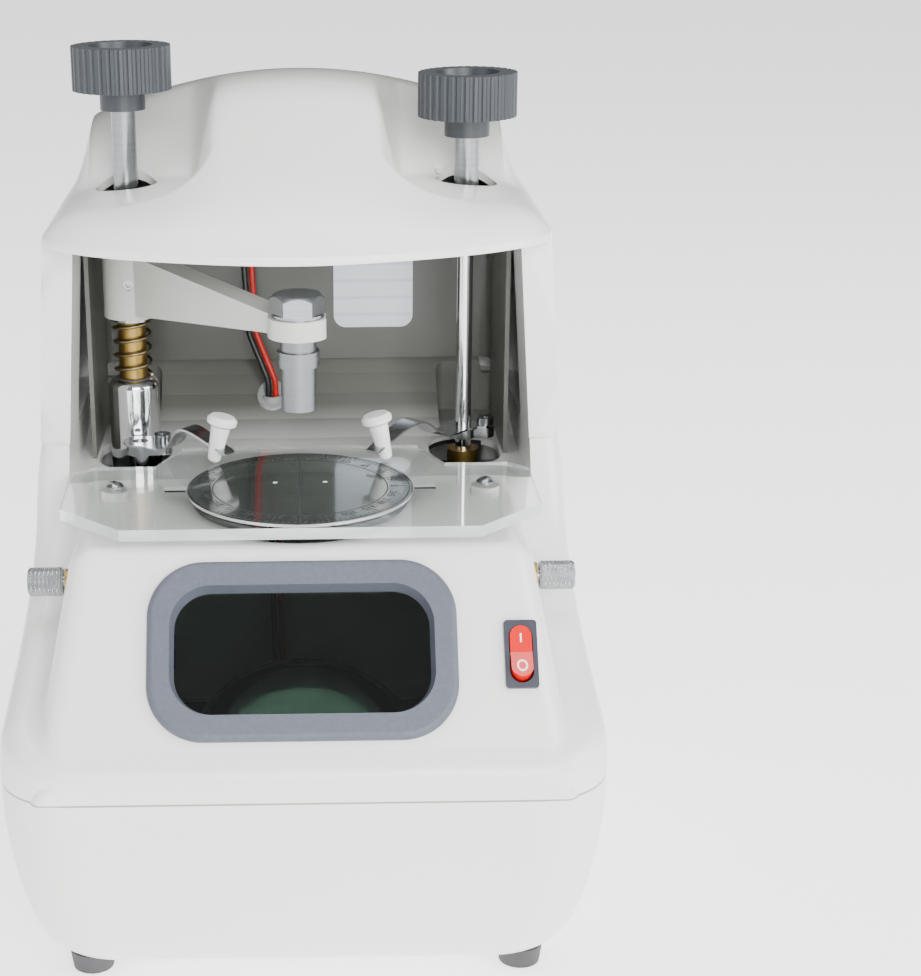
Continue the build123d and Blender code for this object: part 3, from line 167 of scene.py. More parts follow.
# The black stops inside the walls: under the deck, above the floor, behind the sloped panel.
black_top, black_floor, black_rear, black_front = 0.1412, 0.0087, 0.1, -0.0985
black_half, slope_depth = 0.0715, 0.1378
under = node(tree, "ShaderNodeMath", {0: axes.outputs["Z"], 1: black_top}, operation="LESS_THAN")
over = node(tree, "ShaderNodeMath", {0: axes.outputs["Z"], 1: black_floor}, operation="GREATER_THAN")
near = node(tree, "ShaderNodeMath", {0: axes.outputs["Y"], 1: black_rear}, operation="LESS_THAN")
wide = node(tree, "ShaderNodeMath", {0: axes.outputs["X"]}, operation="ABSOLUTE")
narrow = node(tree, "ShaderNodeMath", {0: wide.outputs[0], 1: black_half}, operation="LESS_THAN")
depth = node(tree, "ShaderNodeVectorMath", {0: place, 1: (0.0, -0.8, 0.6)}, operation="DOT_PRODUCT")
behind = node(tree, "ShaderNodeMath", {0: depth.outputs["Value"], 1: slope_depth}, operation="LESS_THAN")
front = node(tree, "ShaderNodeMath", {0: axes.outputs["Y"], 1: black_front}, operation="GREATER_THAN")
mask = under
for part in (over, near, narrow, behind, front):
    mask = node(tree, "ShaderNodeMath", {0: mask.outputs[0], 1: part.outputs[0]}, operation="MULTIPLY")
# The cove below the liner is drawn grey, darkening from the deck's white towards the back: painted shade under the
# hood, together with the liner's grey paint taken as carried over the cove.
cove_back, cove_half, cove_floor = 0.1005, 0.0788, 0.1365
cove = node(tree, "ShaderNodeBsdfPrincipled", {"Base Color": linear("#6C6D67"), "Roughness": 0.3})
cove_shade_fade = node(tree, "ShaderNodeMapRange", {"Value": axes.outputs["Y"], "From Min": 0.052, "From Max": 0.082})
inner = node(tree, "ShaderNodeMath", {0: axes.outputs["Y"], 1: cove_back}, operation="LESS_THAN")
beside = node(tree, "ShaderNodeMath", {0: wide.outputs[0], 1: cove_half}, operation="LESS_THAN")
above = node(tree, "ShaderNodeMath", {0: axes.outputs["Z"], 1: cove_floor}, operation="GREATER_THAN")
grey = cove_shade_fade
for part in (inner, beside, above):
    grey = node(tree, "ShaderNodeMath", {0: grey.outputs[0], 1: part.outputs[0]}, operation="MULTIPLY")
painted = node(tree, "ShaderNodeMixShader", {0: grey.outputs[0], 1: skin.outputs[0], 2: cove.outputs[0]})
both = node(tree, "ShaderNodeMixShader", {0: mask.outputs[0], 1: painted.outputs[0], 2: inside.outputs[0]})
node(tree, "ShaderNodeOutputMaterial", {"Surface": both.outputs[0]})
give(enamel, "lower_housing", "upper_housing")

# --- base plate, mirror bracket and deck bridge ---
# Zinc plated mild steel, cut and folded: a faint spangle under a blue-grey passivated skin.
zinc, tree = new_material("zinc plated steel")
place = node(tree, "ShaderNodeTexCoord").outputs["Object"]
spangle = node(tree, "ShaderNodeTexVoronoi", {"Vector": place, "Scale": 300.0})
tone = node(
    tree, "ShaderNodeMix", {0: spangle.outputs["Distance"], 6: linear("#8F9498"), 7: linear("#B2B6B8")},
    data_type="RGBA",
)
rough = node(tree, "ShaderNodeMapRange", {"Value": spangle.outputs["Distance"], "To Min": 0.3, "To Max": 0.5})
skin = node(
    tree, "ShaderNodeBsdfPrincipled", {"Base Color": tone.outputs[2], "Metallic": 1.0, "Roughness": rough.outputs[0]}
)
node(tree, "ShaderNodeOutputMaterial", {"Surface": skin.outputs[0]})
give(zinc, "base_plate", "mirror_bracket", "deck_bridge")

# --- mirror ---
# Silvered float glass, faintly green, with a trace of dust.
silver, tree = new_material("silvered glass")
place = node(tree, "ShaderNodeTexCoord").outputs["Object"]
dust = node(tree, "ShaderNodeTexNoise", {"Vector": place, "Scale": 180.0, "Detail": 5.0})
rough = node(tree, "ShaderNodeMapRange", {"Value": dust.outputs["Fac"], "To Min": 0.02, "To Max": 0.06})
skin = node(
    tree, "ShaderNodeBsdfPrincipled",
    {"Base Color": linear("#D5DEDA"), "Metallic": 1.0, "Roughness": rough.outputs[0]},
)
node(tree, "ShaderNodeOutputMaterial", {"Surface": skin.outputs[0]})
give(silver, "mirror")

# --- window ---
# A moulded ABS bezel with a fine spark-eroded grain, round a pane of dark tinted glass.
bezel_plastic, tree = new_material("grained grey ABS")
place = node(tree, "ShaderNodeTexCoord").outputs["Object"]
grain = node(tree, "ShaderNodeTexNoise", {"Vector": place, "Scale": 1500.0, "Detail": 3.0})
cloud = node(tree, "ShaderNodeTexNoise", {"Vector": place, "Scale": 700.0, "Detail": 2.0})
tone = node(
    tree, "ShaderNodeMix", {0: cloud.outputs["Fac"], 6: linear("#444954"), 7: linear("#545964")},
    data_type="RGBA",
)
bump = node(tree, "ShaderNodeBump", {"Strength": 0.5, "Distance": 0.0002, "Height": grain.outputs["Fac"]})
skin = node(
    tree, "ShaderNodeBsdfPrincipled", {"Base Color": tone.outputs[2], "Roughness": 0.5, "Normal": bump.outputs[0]},
)
node(tree, "ShaderNodeOutputMaterial", {"Surface": skin.outputs[0]})
give(bezel_plastic, "window_bezel")

tinted, tree = new_material("dark tinted glass")
place = node(tree, "ShaderNodeTexCoord").outputs["Object"]
smear = node(tree, "ShaderNodeTexNoise", {"Vector": place, "Scale": 30.0, "Detail": 3.0})
rough = node(tree, "ShaderNodeMapRange", {"Value": smear.outputs["Fac"], "To Min": 0.0, "To Max": 0.03})
skin = node(
    tree, "ShaderNodeBsdfPrincipled",
    {"Base Color": linear("#87968E"), "Roughness": rough.outputs[0], "Transmission Weight": 1.0, "IOR": 1.5},
)
node(tree, "ShaderNodeOutputMaterial", {"Surface": skin.outputs[0]})
give(tinted, "window_glass")

# --- rocker switch ---
# A snap-in polycarbonate rocker in a glossy black frame, with the usual on and off marks.
black_gloss, tree = new_material("glossy black polyamide")
place = node(tree, "ShaderNodeTexCoord").outputs["Object"]
cloud = node(tree, "ShaderNodeTexNoise", {"Vector": place, "Scale": 200.0, "Detail": 2.0})
tone = node(
    tree, "ShaderNodeMix", {0: cloud.outputs["Fac"], 6: linear("#2B2D36"), 7: linear("#383B45")},
    data_type="RGBA",
)
rough = node(tree, "ShaderNodeMapRange", {"Value": cloud.outputs["Fac"], "To Min": 0.25, "To Max": 0.38})
skin = node(tree, "ShaderNodeBsdfPrincipled", {"Base Color": tone.outputs[2], "Roughness": rough.outputs[0]})
node(tree, "ShaderNodeOutputMaterial", {"Surface": skin.outputs[0]})
give(black_gloss, "switch_body", "dc_jack")

red_gloss, tree = new_material("red polycarbonate")
place = node(tree, "ShaderNodeTexCoord").outputs["Object"]
cloud = node(tree, "ShaderNodeTexNoise", {"Vector": place, "Scale": 250.0, "Detail": 2.0})
tone = node(
    tree, "ShaderNodeMix", {0: cloud.outputs["Fac"], 6: linear("#CC0505"), 7: linear("#DA0A08")},
    data_type="RGBA",
)
skin = node(
    tree, "ShaderNodeBsdfPrincipled",
    {"Base Color": tone.outputs[2], "Roughness": 0.22, "Subsurface Weight": 0.15, "Subsurface Radius": (0.004, 0.001, 0.001),
     "Coat Weight": 0.4},
)
node(tree, "ShaderNodeOutputMaterial", {"Surface": skin.outputs[0]})
give(red_gloss, "switch_rocker")

white_ink, tree = new_material("white pad-printing ink")
place = node(tree, "ShaderNodeTexCoord").outputs["Object"]
cloud = node(tree, "ShaderNodeTexNoise", {"Vector": place, "Scale": 800.0})
tone = node(
    tree, "ShaderNodeMix", {0: cloud.outputs["Fac"], 6: linear("#EDEDED"), 7: linear("#FFFFFF")},
    data_type="RGBA",
)
skin = node(tree, "ShaderNodeBsdfPrincipled", {"Base Color": tone.outputs[2], "Roughness": 0.5})
node(tree, "ShaderNodeOutputMaterial", {"Surface": skin.outputs[0]})

panel_up = Vector((0.0, 0.6002, 0.7998))
panel_out = Vector((0.0, -0.7998, 0.6002))
pivot = Vector((0.0721, -0.089017, 0.111612))
rocker_frame = Matrix.Translation(pivot) @ Matrix((
    (1.0, 0.0, 0.0, 0.0),
    (0.0, panel_up.y, panel_out.y, 0.0),
    (0.0, panel_up.z, panel_out.z, 0.0),
    (0.0, 0.0, 0.0, 1.0),
)) @ Matrix.Rotation(radians(-9.0), 4, "X")


def deselect():
    """Leaves nothing selected before a new primitive is made."""
    if bpy.context.object and bpy.context.object.mode != "OBJECT":
        bpy.ops.object.mode_set(mode="OBJECT")
    bpy.ops.object.select_all(action="DESELECT")


def settle(piece):
    """Moves a piece's place, turn and size into its mesh."""
    deselect()
    piece.select_set(True)
    bpy.context.view_layer.objects.active = piece
    bpy.ops.object.transform_apply(location=True, rotation=True, scale=True)


def apply_modifiers(piece):
    deselect()
    piece.select_set(True)
    bpy.context.view_layer.objects.active = piece
    for modifier in list(piece.modifiers):
        bpy.ops.object.modifier_apply(modifier=modifier.name)


def finish_piece(piece, name, material, body):
    """Names a piece, gives it its material and puts it on its body."""
    piece.name = name
    piece.data.materials.clear()
    piece.data.materials.append(material)
    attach(piece, body)


deselect()
bpy.ops.mesh.primitive_cube_add(size=1.0)
on_mark = bpy.context.object
on_mark.scale = (0.00055, 0.0030, 0.00006)
on_mark.location = (0.0, 0.0048, 0.003 + 0.0048 * tan(radians(9.0)) + 0.00002)
on_mark.rotation_euler = (radians(9.0), 0.0, 0.0)
settle(on_mark)
bevel = on_mark.modifiers.new("soft edge", "BEVEL")
bevel.width = 0.00002
apply_modifiers(on_mark)
on_mark.data.transform(rocker_frame)
finish_piece(on_mark, "rocker_on_mark", white_ink, "rocker")

deselect()
bpy.ops.mesh.primitive_torus_add(major_radius=0.0015, minor_radius=0.00028, major_segments=48, minor_segments=8)
off_mark = bpy.context.object
off_mark.scale = (1.0, 1.25, 0.12)
off_mark.location = (0.0, -0.0050, 0.003 + 0.0050 * tan(radians(9.0)) + 0.00002)
off_mark.rotation_euler = (radians(-9.0), 0.0, 0.0)
settle(off_mark)
off_mark.data.transform(rocker_frame)
finish_piece(off_mark, "rocker_off_mark", white_ink, "rocker")

# --- stage plate ---
# Cast acrylic, laser cut and polished at the edges, which look frosted and gather light. The keys,
# the hood's ceiling and the bush round the leads are moulded from grey acetal.
acrylic, tree = new_material("clear cast acrylic")
place = node(tree, "ShaderNodeTexCoord").outputs["Object"]
scuff = node(tree, "ShaderNodeTexNoise", {"Vector": place, "Scale": 90.0, "Detail": 6.0})
rough = node(
    tree, "ShaderNodeMapRange", {"Value": scuff.outputs["Fac"], "From Min": 0.45, "From Max": 0.8, "To Min": 0.01, "To Max": 0.07},
)
skin = node(
    tree, "ShaderNodeBsdfPrincipled",
    {"Base Color": linear("#FBFDFC"), "Roughness": rough.outputs[0], "Transmission Weight": 1.0, "IOR": 1.35},
)
edge_skin = node(
    tree, "ShaderNodeBsdfPrincipled",
    {"Base Color": linear("#E9F0EE"), "Roughness": 0.2, "Transmission Weight": 0.35, "IOR": 1.49},
)
facing = node(tree, "ShaderNodeSeparateXYZ", {"Vector": node(tree, "ShaderNodeNewGeometry").outputs["Normal"]})
level = node(tree, "ShaderNodeMath", {0: facing.outputs["Z"]}, operation="ABSOLUTE")
edge = node(
    tree, "ShaderNodeMapRange", {"Value": level.outputs[0], "From Min": 0.3, "From Max": 0.8, "To Min": 0.75, "To Max": 0.0},
)
both = node(tree, "ShaderNodeMixShader", {0: edge.outputs[0], 1: skin.outputs[0], 2: edge_skin.outputs[0]})
node(tree, "ShaderNodeOutputMaterial", {"Surface": both.outputs[0]})
give(acrylic, "stage_plate")

key_plastic, tree = new_material("grey acetal")
place = node(tree, "ShaderNodeTexCoord").outputs["Object"]
grain = node(tree, "ShaderNodeTexNoise", {"Vector": place, "Scale": 1200.0, "Detail": 2.0})
tone = node(
    tree, "ShaderNodeMix", {0: grain.outputs["Fac"], 6: linear("#9C9F9F"), 7: linear("#B3B6B5")},
    data_type="RGBA",
)
skin = node(tree, "ShaderNodeBsdfPrincipled", {"Base Color": tone.outputs[2], "Roughness": 0.4})
node(tree, "ShaderNodeOutputMaterial", {"Surface": skin.outputs[0]})
give(key_plastic, "disc_keys", "hood_ceiling", "wire_grommet")

# --- reticle disc ---
# Half-silvered glass with a protractor etched round its rim and a centre line.
half_silver, tree = new_material("half-silvered glass")
place = node(tree, "ShaderNodeTexCoord").outputs["Object"]
dust = node(tree, "ShaderNodeTexNoise", {"Vector": place, "Scale": 400.0, "Detail": 4.0})
rough = node(tree, "ShaderNodeMapRange", {"Value": dust.outputs["Fac"], "To Min": 0.05, "To Max": 0.16})
tone = node(
    tree, "ShaderNodeMix", {0: dust.outputs["Fac"], 6: linear("#6B7370"), 7: linear("#7B8380")},
    data_type="RGBA",
)
film = node(
    tree, "ShaderNodeBsdfPrincipled",
    {"Base Color": tone.outputs[2], "Metallic": 0.75, "Roughness": rough.outputs[0]},
)
clear = node(
    tree, "ShaderNodeBsdfPrincipled",
    {"Base Color": linear("#C4CECB"), "Roughness": 0.05, "Transmission Weight": 1.0, "IOR": 1.5},
)
both = node(tree, "ShaderNodeMixShader", {0: 0.45, 1: film.outputs[0], 2: clear.outputs[0]})
node(tree, "ShaderNodeOutputMaterial", {"Surface": both.outputs[0]})
give(half_silver, "reticle_disc")

etched, tree = new_material("etched black line")
place = node(tree, "ShaderNodeTexCoord").outputs["Object"]
cloud = node(tree, "ShaderNodeTexNoise", {"Vector": place, "Scale": 900.0})
tone = node(
    tree, "ShaderNodeMix", {0: cloud.outputs["Fac"], 6: linear("#26292A"), 7: linear("#3E4243")},
    data_type="RGBA",
)
skin = node(tree, "ShaderNodeBsdfPrincipled", {"Base Color": tone.outputs[2], "Roughness": 0.6})
node(tree, "ShaderNodeOutputMaterial", {"Surface": skin.outputs[0]})

stage_centre = Vector((0.0, -0.025, 0.150))
ink = 0.00004


def stroke(x0, y0, x1, y1, width, lift=ink):
    """One etched line on the disc, as a slim bar."""
    deselect()
    bpy.ops.mesh.primitive_cube_add(size=1.0)
    bar = bpy.context.object
    bar.scale = (hypot(x1 - x0, y1 - y0) / 1000, width / 1000, lift)
    bar.rotation_euler = (0.0, 0.0, Vector((x1 - x0, y1 - y0)).angle_signed(Vector((1.0, 0.0))))
    bar.location = stage_centre + Vector(((x0 + x1) / 2000, (y0 + y1) / 2000, lift / 2))
    return bar


def join(pieces):
    deselect()
    for piece in pieces:
        piece.select_set(True)
    bpy.context.view_layer.objects.active = pieces[0]
    bpy.ops.object.join()
    joined = bpy.context.object
    settle(joined)
    return joined


strokes = [stroke(0, -30, 0, 30, 0.45), stroke(-1.6, 0, 1.6, 0, 0.3)]
for step in range(120):
    turn = radians(3 * step)
    inner = 35.4 if step % 5 == 0 else 36.8
    strokes.append(stroke(inner * cos(turn), inner * sin(turn), 38.6 * cos(turn), 38.6 * sin(turn), 0.34))
for radius in (38.7, 31.0):
    deselect()
    bpy.ops.mesh.primitive_torus_add(
        major_radius=radius / 1000, minor_radius=0.00022, major_segments=160, minor_segments=4,
        location=stage_centre + Vector((0, 0, ink / 2)),
    )
    ring = bpy.context.object
    ring.scale = (1.0, 1.0, 0.1)
    strokes.append(ring)
for step in range(24):
    turn = radians(15 * step)
    deselect()
    bpy.ops.object.text_add()
    figure = bpy.context.object
    figure.data.body = str(15 * step)
    figure.data.align_x = "CENTER"
    figure.data.size = 0.0040
    figure.data.extrude = ink / 2
    figure.location = stage_centre + Vector((32.0 * cos(turn) / 1000, 32.0 * sin(turn) / 1000, ink / 2))
    figure.rotation_euler = (0.0, 0.0, turn - pi / 2)
    bpy.ops.object.convert(target="MESH")
    strokes.append(bpy.context.object)
scale_marks = join(strokes)
finish_piece(scale_marks, "reticle_scale", etched, "base")

dots = []
for side in (-1, 1):
    deselect()
    bpy.ops.mesh.primitive_uv_sphere_add(
        radius=0.0009, segments=24, ring_count=12, location=stage_centre + Vector((side * 0.0089, 0.0055, 0.0))
    )
    dot = bpy.context.object
    dot.scale = (1.0, 1.0, 0.1)
    dots.append(dot)
dots = join(dots)
finish_piece(dots, "reticle_dots", white_ink, "base")

# --- chrome sleeve and springs ---
# The sleeve is turned brass under bright chrome; the springs are drawn steel wire, coiled and set.
chrome, tree = new_material("bright chrome plate")
place = node(tree, "ShaderNodeTexCoord").outputs["Object"]
haze = node(tree, "ShaderNodeTexNoise", {"Vector": place, "Scale": 70.0, "Detail": 4.0})
rough = node(tree, "ShaderNodeMapRange", {"Value": haze.outputs["Fac"], "To Min": 0.04, "To Max": 0.12})
skin = node(
    tree, "ShaderNodeBsdfPrincipled", {"Base Color": linear("#D9DADB"), "Metallic": 1.0, "Roughness": rough.outputs[0]}
)
node(tree, "ShaderNodeOutputMaterial", {"Surface": skin.outputs[0]})
give(chrome, "chrome_sleeve", "clamp_rod")

brass, tree = new_material("dull turned brass")
place = node(tree, "ShaderNodeTexCoord").outputs["Object"]
rings = node(tree, "ShaderNodeMapping", {"Vector": place, "Scale": (60.0, 60.0, 1800.0)})
mark = node(tree, "ShaderNodeTexNoise", {"Vector": rings.outputs[0], "Scale": 1.0, "Detail": 3.0})
stain = node(tree, "ShaderNodeTexNoise", {"Vector": place, "Scale": 160.0, "Detail": 4.0})
tone = node(
    tree, "ShaderNodeMix", {0: stain.outputs["Fac"], 6: linear("#A88A4A"), 7: linear("#8C7442")},
    data_type="RGBA",
)
rough = node(tree, "ShaderNodeMapRange", {"Value": stain.outputs["Fac"], "To Min": 0.28, "To Max": 0.5})
bump = node(tree, "ShaderNodeBump", {"Strength": 0.25, "Distance": 0.0001, "Height": mark.outputs["Fac"]})
skin = node(
    tree, "ShaderNodeBsdfPrincipled",
    {"Base Color": tone.outputs[2], "Metallic": 1.0, "Roughness": rough.outputs[0], "Normal": bump.outputs[0]},
)
node(tree, "ShaderNodeOutputMaterial", {"Surface": skin.outputs[0]})
give(brass, "brass_tube", "clamp_guides", "shaft_bushes", "upper_bushes")

wire_steel, tree = new_material("drawn spring wire")
place = node(tree, "ShaderNodeTexCoord").outputs["Object"]
stain = node(tree, "ShaderNodeTexNoise", {"Vector": place, "Scale": 300.0, "Detail": 3.0})
tone = node(
    tree, "ShaderNodeMix", {0: stain.outputs["Fac"], 6: linear("#9A8A66"), 7: linear("#6E6450")},
    data_type="RGBA",
)
rough = node(tree, "ShaderNodeMapRange", {"Value": stain.outputs["Fac"], "To Min": 0.25, "To Max": 0.45})
skin = node(
    tree, "ShaderNodeBsdfPrincipled", {"Base Color": tone.outputs[2], "Metallic": 1.0, "Roughness": rough.outputs[0]}
)
node(tree, "ShaderNodeOutputMaterial", {"Surface": skin.outputs[0]})
give(wire_steel, "press_spring", "clamp_spring")

# --- press shaft, arm and block holder ---
# Ground steel shafts; the arm is a die casting under light grey enamel; the holder is turned
# from aluminium alloy and left bare.
give(steel, "press_shaft", "clamp_shaft", "holder_bolt")

arm_enamel, tree = new_material("light grey enamel on casting")
place = node(tree, "ShaderNodeTexCoord").outputs["Object"]
cast = node(tree, "ShaderNodeTexNoise", {"Vector": place, "Scale": 260.0, "Detail": 4.0})
cloud = node(tree, "ShaderNodeTexNoise", {"Vector": place, "Scale": 25.0, "Detail": 2.0})
tone = node(
    tree, "ShaderNodeMix", {0: cloud.outputs["Fac"], 6: linear("#B4B4AE"), 7: linear("#C0C0BA")},
    data_type="RGBA",
)
bump = node(tree, "ShaderNodeBump", {"Strength": 0.22, "Distance": 0.0003, "Height": cast.outputs["Fac"]})
skin = node(
    tree, "ShaderNodeBsdfPrincipled",
    {"Base Color": tone.outputs[2], "Roughness": 0.42, "Coat Weight": 0.15, "Normal": bump.outputs[0]},
)
node(tree, "ShaderNodeOutputMaterial", {"Surface": skin.outputs[0]})
give(arm_enamel, "block_arm")

alloy, tree = new_material("turned aluminium alloy")
place = node(tree, "ShaderNodeTexCoord").outputs["Object"]
rings = node(tree, "ShaderNodeMapping", {"Vector": place, "Scale": (30.0, 30.0, 3200.0)})
mark = node(tree, "ShaderNodeTexNoise", {"Vector": rings.outputs[0], "Scale": 1.0, "Detail": 2.0})
tone = node(
    tree, "ShaderNodeMix", {0: mark.outputs["Fac"], 6: linear("#6B6E71"), 7: linear("#8D9092")},
    data_type="RGBA",
)
rough = node(tree, "ShaderNodeMapRange", {"Value": mark.outputs["Fac"], "To Min": 0.3, "To Max": 0.44})
bump = node(tree, "ShaderNodeBump", {"Strength": 0.2, "Distance": 0.0001, "Height": mark.outputs["Fac"]})
skin = node(
    tree, "ShaderNodeBsdfPrincipled",
    {"Base Color": tone.outputs[2], "Metallic": 1.0, "Roughness": rough.outputs[0], "Normal": bump.outputs[0]},
)
node(tree, "ShaderNodeOutputMaterial", {"Surface": skin.outputs[0]})
give(alloy, "block_holder", "lamp_housing", "line_carriage")

# --- knobs ---
# Moulded slate-grey ABS with flutes, glossy from the mould with faint flow marks.
knob_plastic, tree = new_material("slate grey ABS")
place = node(tree, "ShaderNodeTexCoord").outputs["Object"]
flow = node(tree, "ShaderNodeTexNoise", {"Vector": place, "Scale": 45.0, "Detail": 3.0})
grain = node(tree, "ShaderNodeTexNoise", {"Vector": place, "Scale": 1400.0, "Detail": 2.0})
tone = node(
    tree, "ShaderNodeMix", {0: flow.outputs["Fac"], 6: linear("#262B30"), 7: linear("#30353B")},
    data_type="RGBA",
)
rough = node(tree, "ShaderNodeMapRange", {"Value": flow.outputs["Fac"], "To Min": 0.34, "To Max": 0.44})
bump = node(tree, "ShaderNodeBump", {"Strength": 0.2, "Distance": 0.0001, "Height": grain.outputs["Fac"]})
skin = node(
    tree, "ShaderNodeBsdfPrincipled", {"Base Color": tone.outputs[2], "Roughness": rough.outputs[0], "Normal": bump.outputs[0]}
)
node(tree, "ShaderNodeOutputMaterial", {"Surface": skin.outputs[0]})
give(knob_plastic, "press_knob", "clamp_knob")

# --- lens pads and leaves ---
# White nylon tips pushed through leaves blanked from bright spring steel. The stage's standoffs
# are the same nylon.
nylon, tree = new_material("white nylon")
place = node(tree, "ShaderNodeTexCoord").outputs["Object"]
flow = node(tree, "ShaderNodeTexNoise", {"Vector": place, "Scale": 120.0, "Detail": 2.0})
tone = node(
    tree, "ShaderNodeMix", {0: flow.outputs["Fac"], 6: linear("#ECECEA"), 7: linear("#F7F7F5")},
    data_type="RGBA",
)
skin = node(
    tree, "ShaderNodeBsdfPrincipled",
    {"Base Color": tone.outputs[2], "Roughness": 0.38, "Subsurface Weight": 0.2, "Subsurface Radius": (0.002, 0.002, 0.002)},
)
node(tree, "ShaderNodeOutputMaterial", {"Surface": skin.outputs[0]})
give(nylon, "lens_pads", "stage_standoffs")

leaf_steel, tree = new_material("bright rolled spring steel")
place = node(tree, "ShaderNodeTexCoord").outputs["Object"]
rolled = node(tree, "ShaderNodeMapping", {"Vector": place, "Rotation": (0.0, 0.0, 0.7), "Scale": (60.0, 1600.0, 60.0)})
mark = node(tree, "ShaderNodeTexNoise", {"Vector": rolled.outputs[0], "Scale": 1.0, "Detail": 2.0})
tone = node(
    tree, "ShaderNodeMix", {0: mark.outputs["Fac"], 6: linear("#9C9EA0"), 7: linear("#C0C2C4")},
    data_type="RGBA",
)
rough = node(tree, "ShaderNodeMapRange", {"Value": mark.outputs["Fac"], "To Min": 0.15, "To Max": 0.3})
skin = node(
    tree, "ShaderNodeBsdfPrincipled", {"Base Color": tone.outputs[2], "Metallic": 1.0, "Roughness": rough.outputs[0]}
)
node(tree, "ShaderNodeOutputMaterial", {"Surface": skin.outputs[0]})
give(leaf_steel, "leaf_arms")

# --- side knobs and line glass ---
# The side shaft's ends are rolled with a diamond knurl; the line carriage holds a clear glass
# with one line across it.
clear_glass, tree = new_material("clear float glass")
place = node(tree, "ShaderNodeTexCoord").outputs["Object"]
smear = node(tree, "ShaderNodeTexNoise", {"Vector": place, "Scale": 60.0, "Detail": 3.0})
rough = node(tree, "ShaderNodeMapRange", {"Value": smear.outputs["Fac"], "To Min": 0.0, "To Max": 0.04})
skin = node(
    tree, "ShaderNodeBsdfPrincipled",
    {"Base Color": linear("#E8F0EC"), "Roughness": rough.outputs[0], "Transmission Weight": 1.0, "IOR": 1.5},
)
node(tree, "ShaderNodeOutputMaterial", {"Surface": skin.outputs[0]})
give(clear_glass, "line_glass", "lamp_lens")

knurl_steel, tree = new_material("knurled steel")
place = node(tree, "ShaderNodeTexCoord").outputs["Object"]
stain = node(tree, "ShaderNodeTexNoise", {"Vector": place, "Scale": 300.0, "Detail": 3.0})
tone = node(
    tree, "ShaderNodeMix", {0: stain.outputs["Fac"], 6: linear("#8E9092"), 7: linear("#B6B8BA")},
    data_type="RGBA",
)
rough = node(tree, "ShaderNodeMapRange", {"Value": stain.outputs["Fac"], "To Min": 0.25, "To Max": 0.42})
skin = node(
    tree, "ShaderNodeBsdfPrincipled", {"Base Color": tone.outputs[2], "Metallic": 1.0, "Roughness": rough.outputs[0]}
)
node(tree, "ShaderNodeOutputMaterial", {"Surface": skin.outputs[0]})

knurls = []
for side in (-1, 1):
    deselect()
    bpy.ops.mesh.primitive_grid_add(x_subdivisions=216, y_subdivisions=66, size=1.0)
    knurl = bpy.context.object
    for point in knurl.data.vertices:
        turn = 2 * pi * (point.co.x + 0.5)
        row = round((point.co.y + 0.5) * 66)
        if row in (0, 66):
            radius, along = 0.0, 0.0 if row == 0 else 1.0
        elif row in (1, 65):
            radius, along = 4.35, 0.0 if row == 1 else 1.0
        else:
            along = 0.04 + 0.92 * (row - 2) / 62
            ridge = min(abs(sin(18 * turn + 21 * pi * along)), abs(sin(18 * turn - 21 * pi * along)))
            radius = 4.72 + 0.28 * ridge - (0.25 if row in (2, 64) else 0.0)
        point.co = (
            side * (82.3 + 12.2 * along) / 1000, -0.050 + radius * cos(turn) / 1000, 0.125 + radius * sin(turn) / 1000
        )
    bpy.ops.object.mode_set(mode="EDIT")
    bpy.ops.mesh.select_all(action="SELECT")
    bpy.ops.mesh.remove_doubles(threshold=0.000001)
    bpy.ops.mesh.normals_make_consistent(inside=False)
    bpy.ops.object.mode_set(mode="OBJECT")
    knurls.append(knurl)
knurls = join(knurls)
bpy.ops.object.shade_smooth_by_angle(angle=radians(35))
finish_piece(knurls, "knurled_side_knobs", knurl_steel, "line_screw")
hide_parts("knurled_knobs")

# --- hood ---
# One vacuum-formed ABS shell in the housing's enamel: a thin visor in front, a ridge that swells
# into the crown behind, and a scoop round each post. Its lower walls are the case's rear column.
edge_half, edge_reach, edge_centre, edge_back, edge_corner = 90.5, 42.0, 32.0, 133.0, 25.0


def outline_gap(x, y):
    """Below zero inside the hood's D-shaped outline, above zero outside it."""
    if y < edge_centre:
        return hypot(x / edge_half, (y - edge_centre) / edge_reach) - 1.0
    past_x, past_y = abs(x) - (edge_half - edge_corner), y - (edge_back - edge_corner)
    if past_x > 0 and past_y > 0:
        return hypot(past_x, past_y) - edge_corner
    return max(past_x, past_y) - edge_corner


def edge_distance(x, y):
    """How far a place is inside the outline, in millimetres."""
    if y >= edge_centre:
        past_x, past_y = abs(x) - (edge_half - edge_corner), y - (edge_back - edge_corner)
        if past_x > 0 and past_y > 0:
            return max(edge_corner - hypot(past_x, past_y), 0.0)
        return max(edge_half - abs(x), 0.0) if y < edge_back - edge_corner else max(min(edge_half - abs(x), edge_back - y), 0.0)
    across, reach = x / edge_half, (y - edge_centre) / edge_reach
    ratio = hypot(across, reach)
    if ratio < 0.05:
        return edge_reach
    steep = hypot(across / edge_half, reach / edge_reach) / ratio
    return min(max(1 - ratio, 0.0) / steep, edge_reach)


def smooth(low, high, value):
    share = min(max((value - low) / (high - low), 0.0), 1.0)
    return share * share * (3 - 2 * share)


def softplus(value, width):
    return width * log(1 + exp(min(value / width, 30.0)))


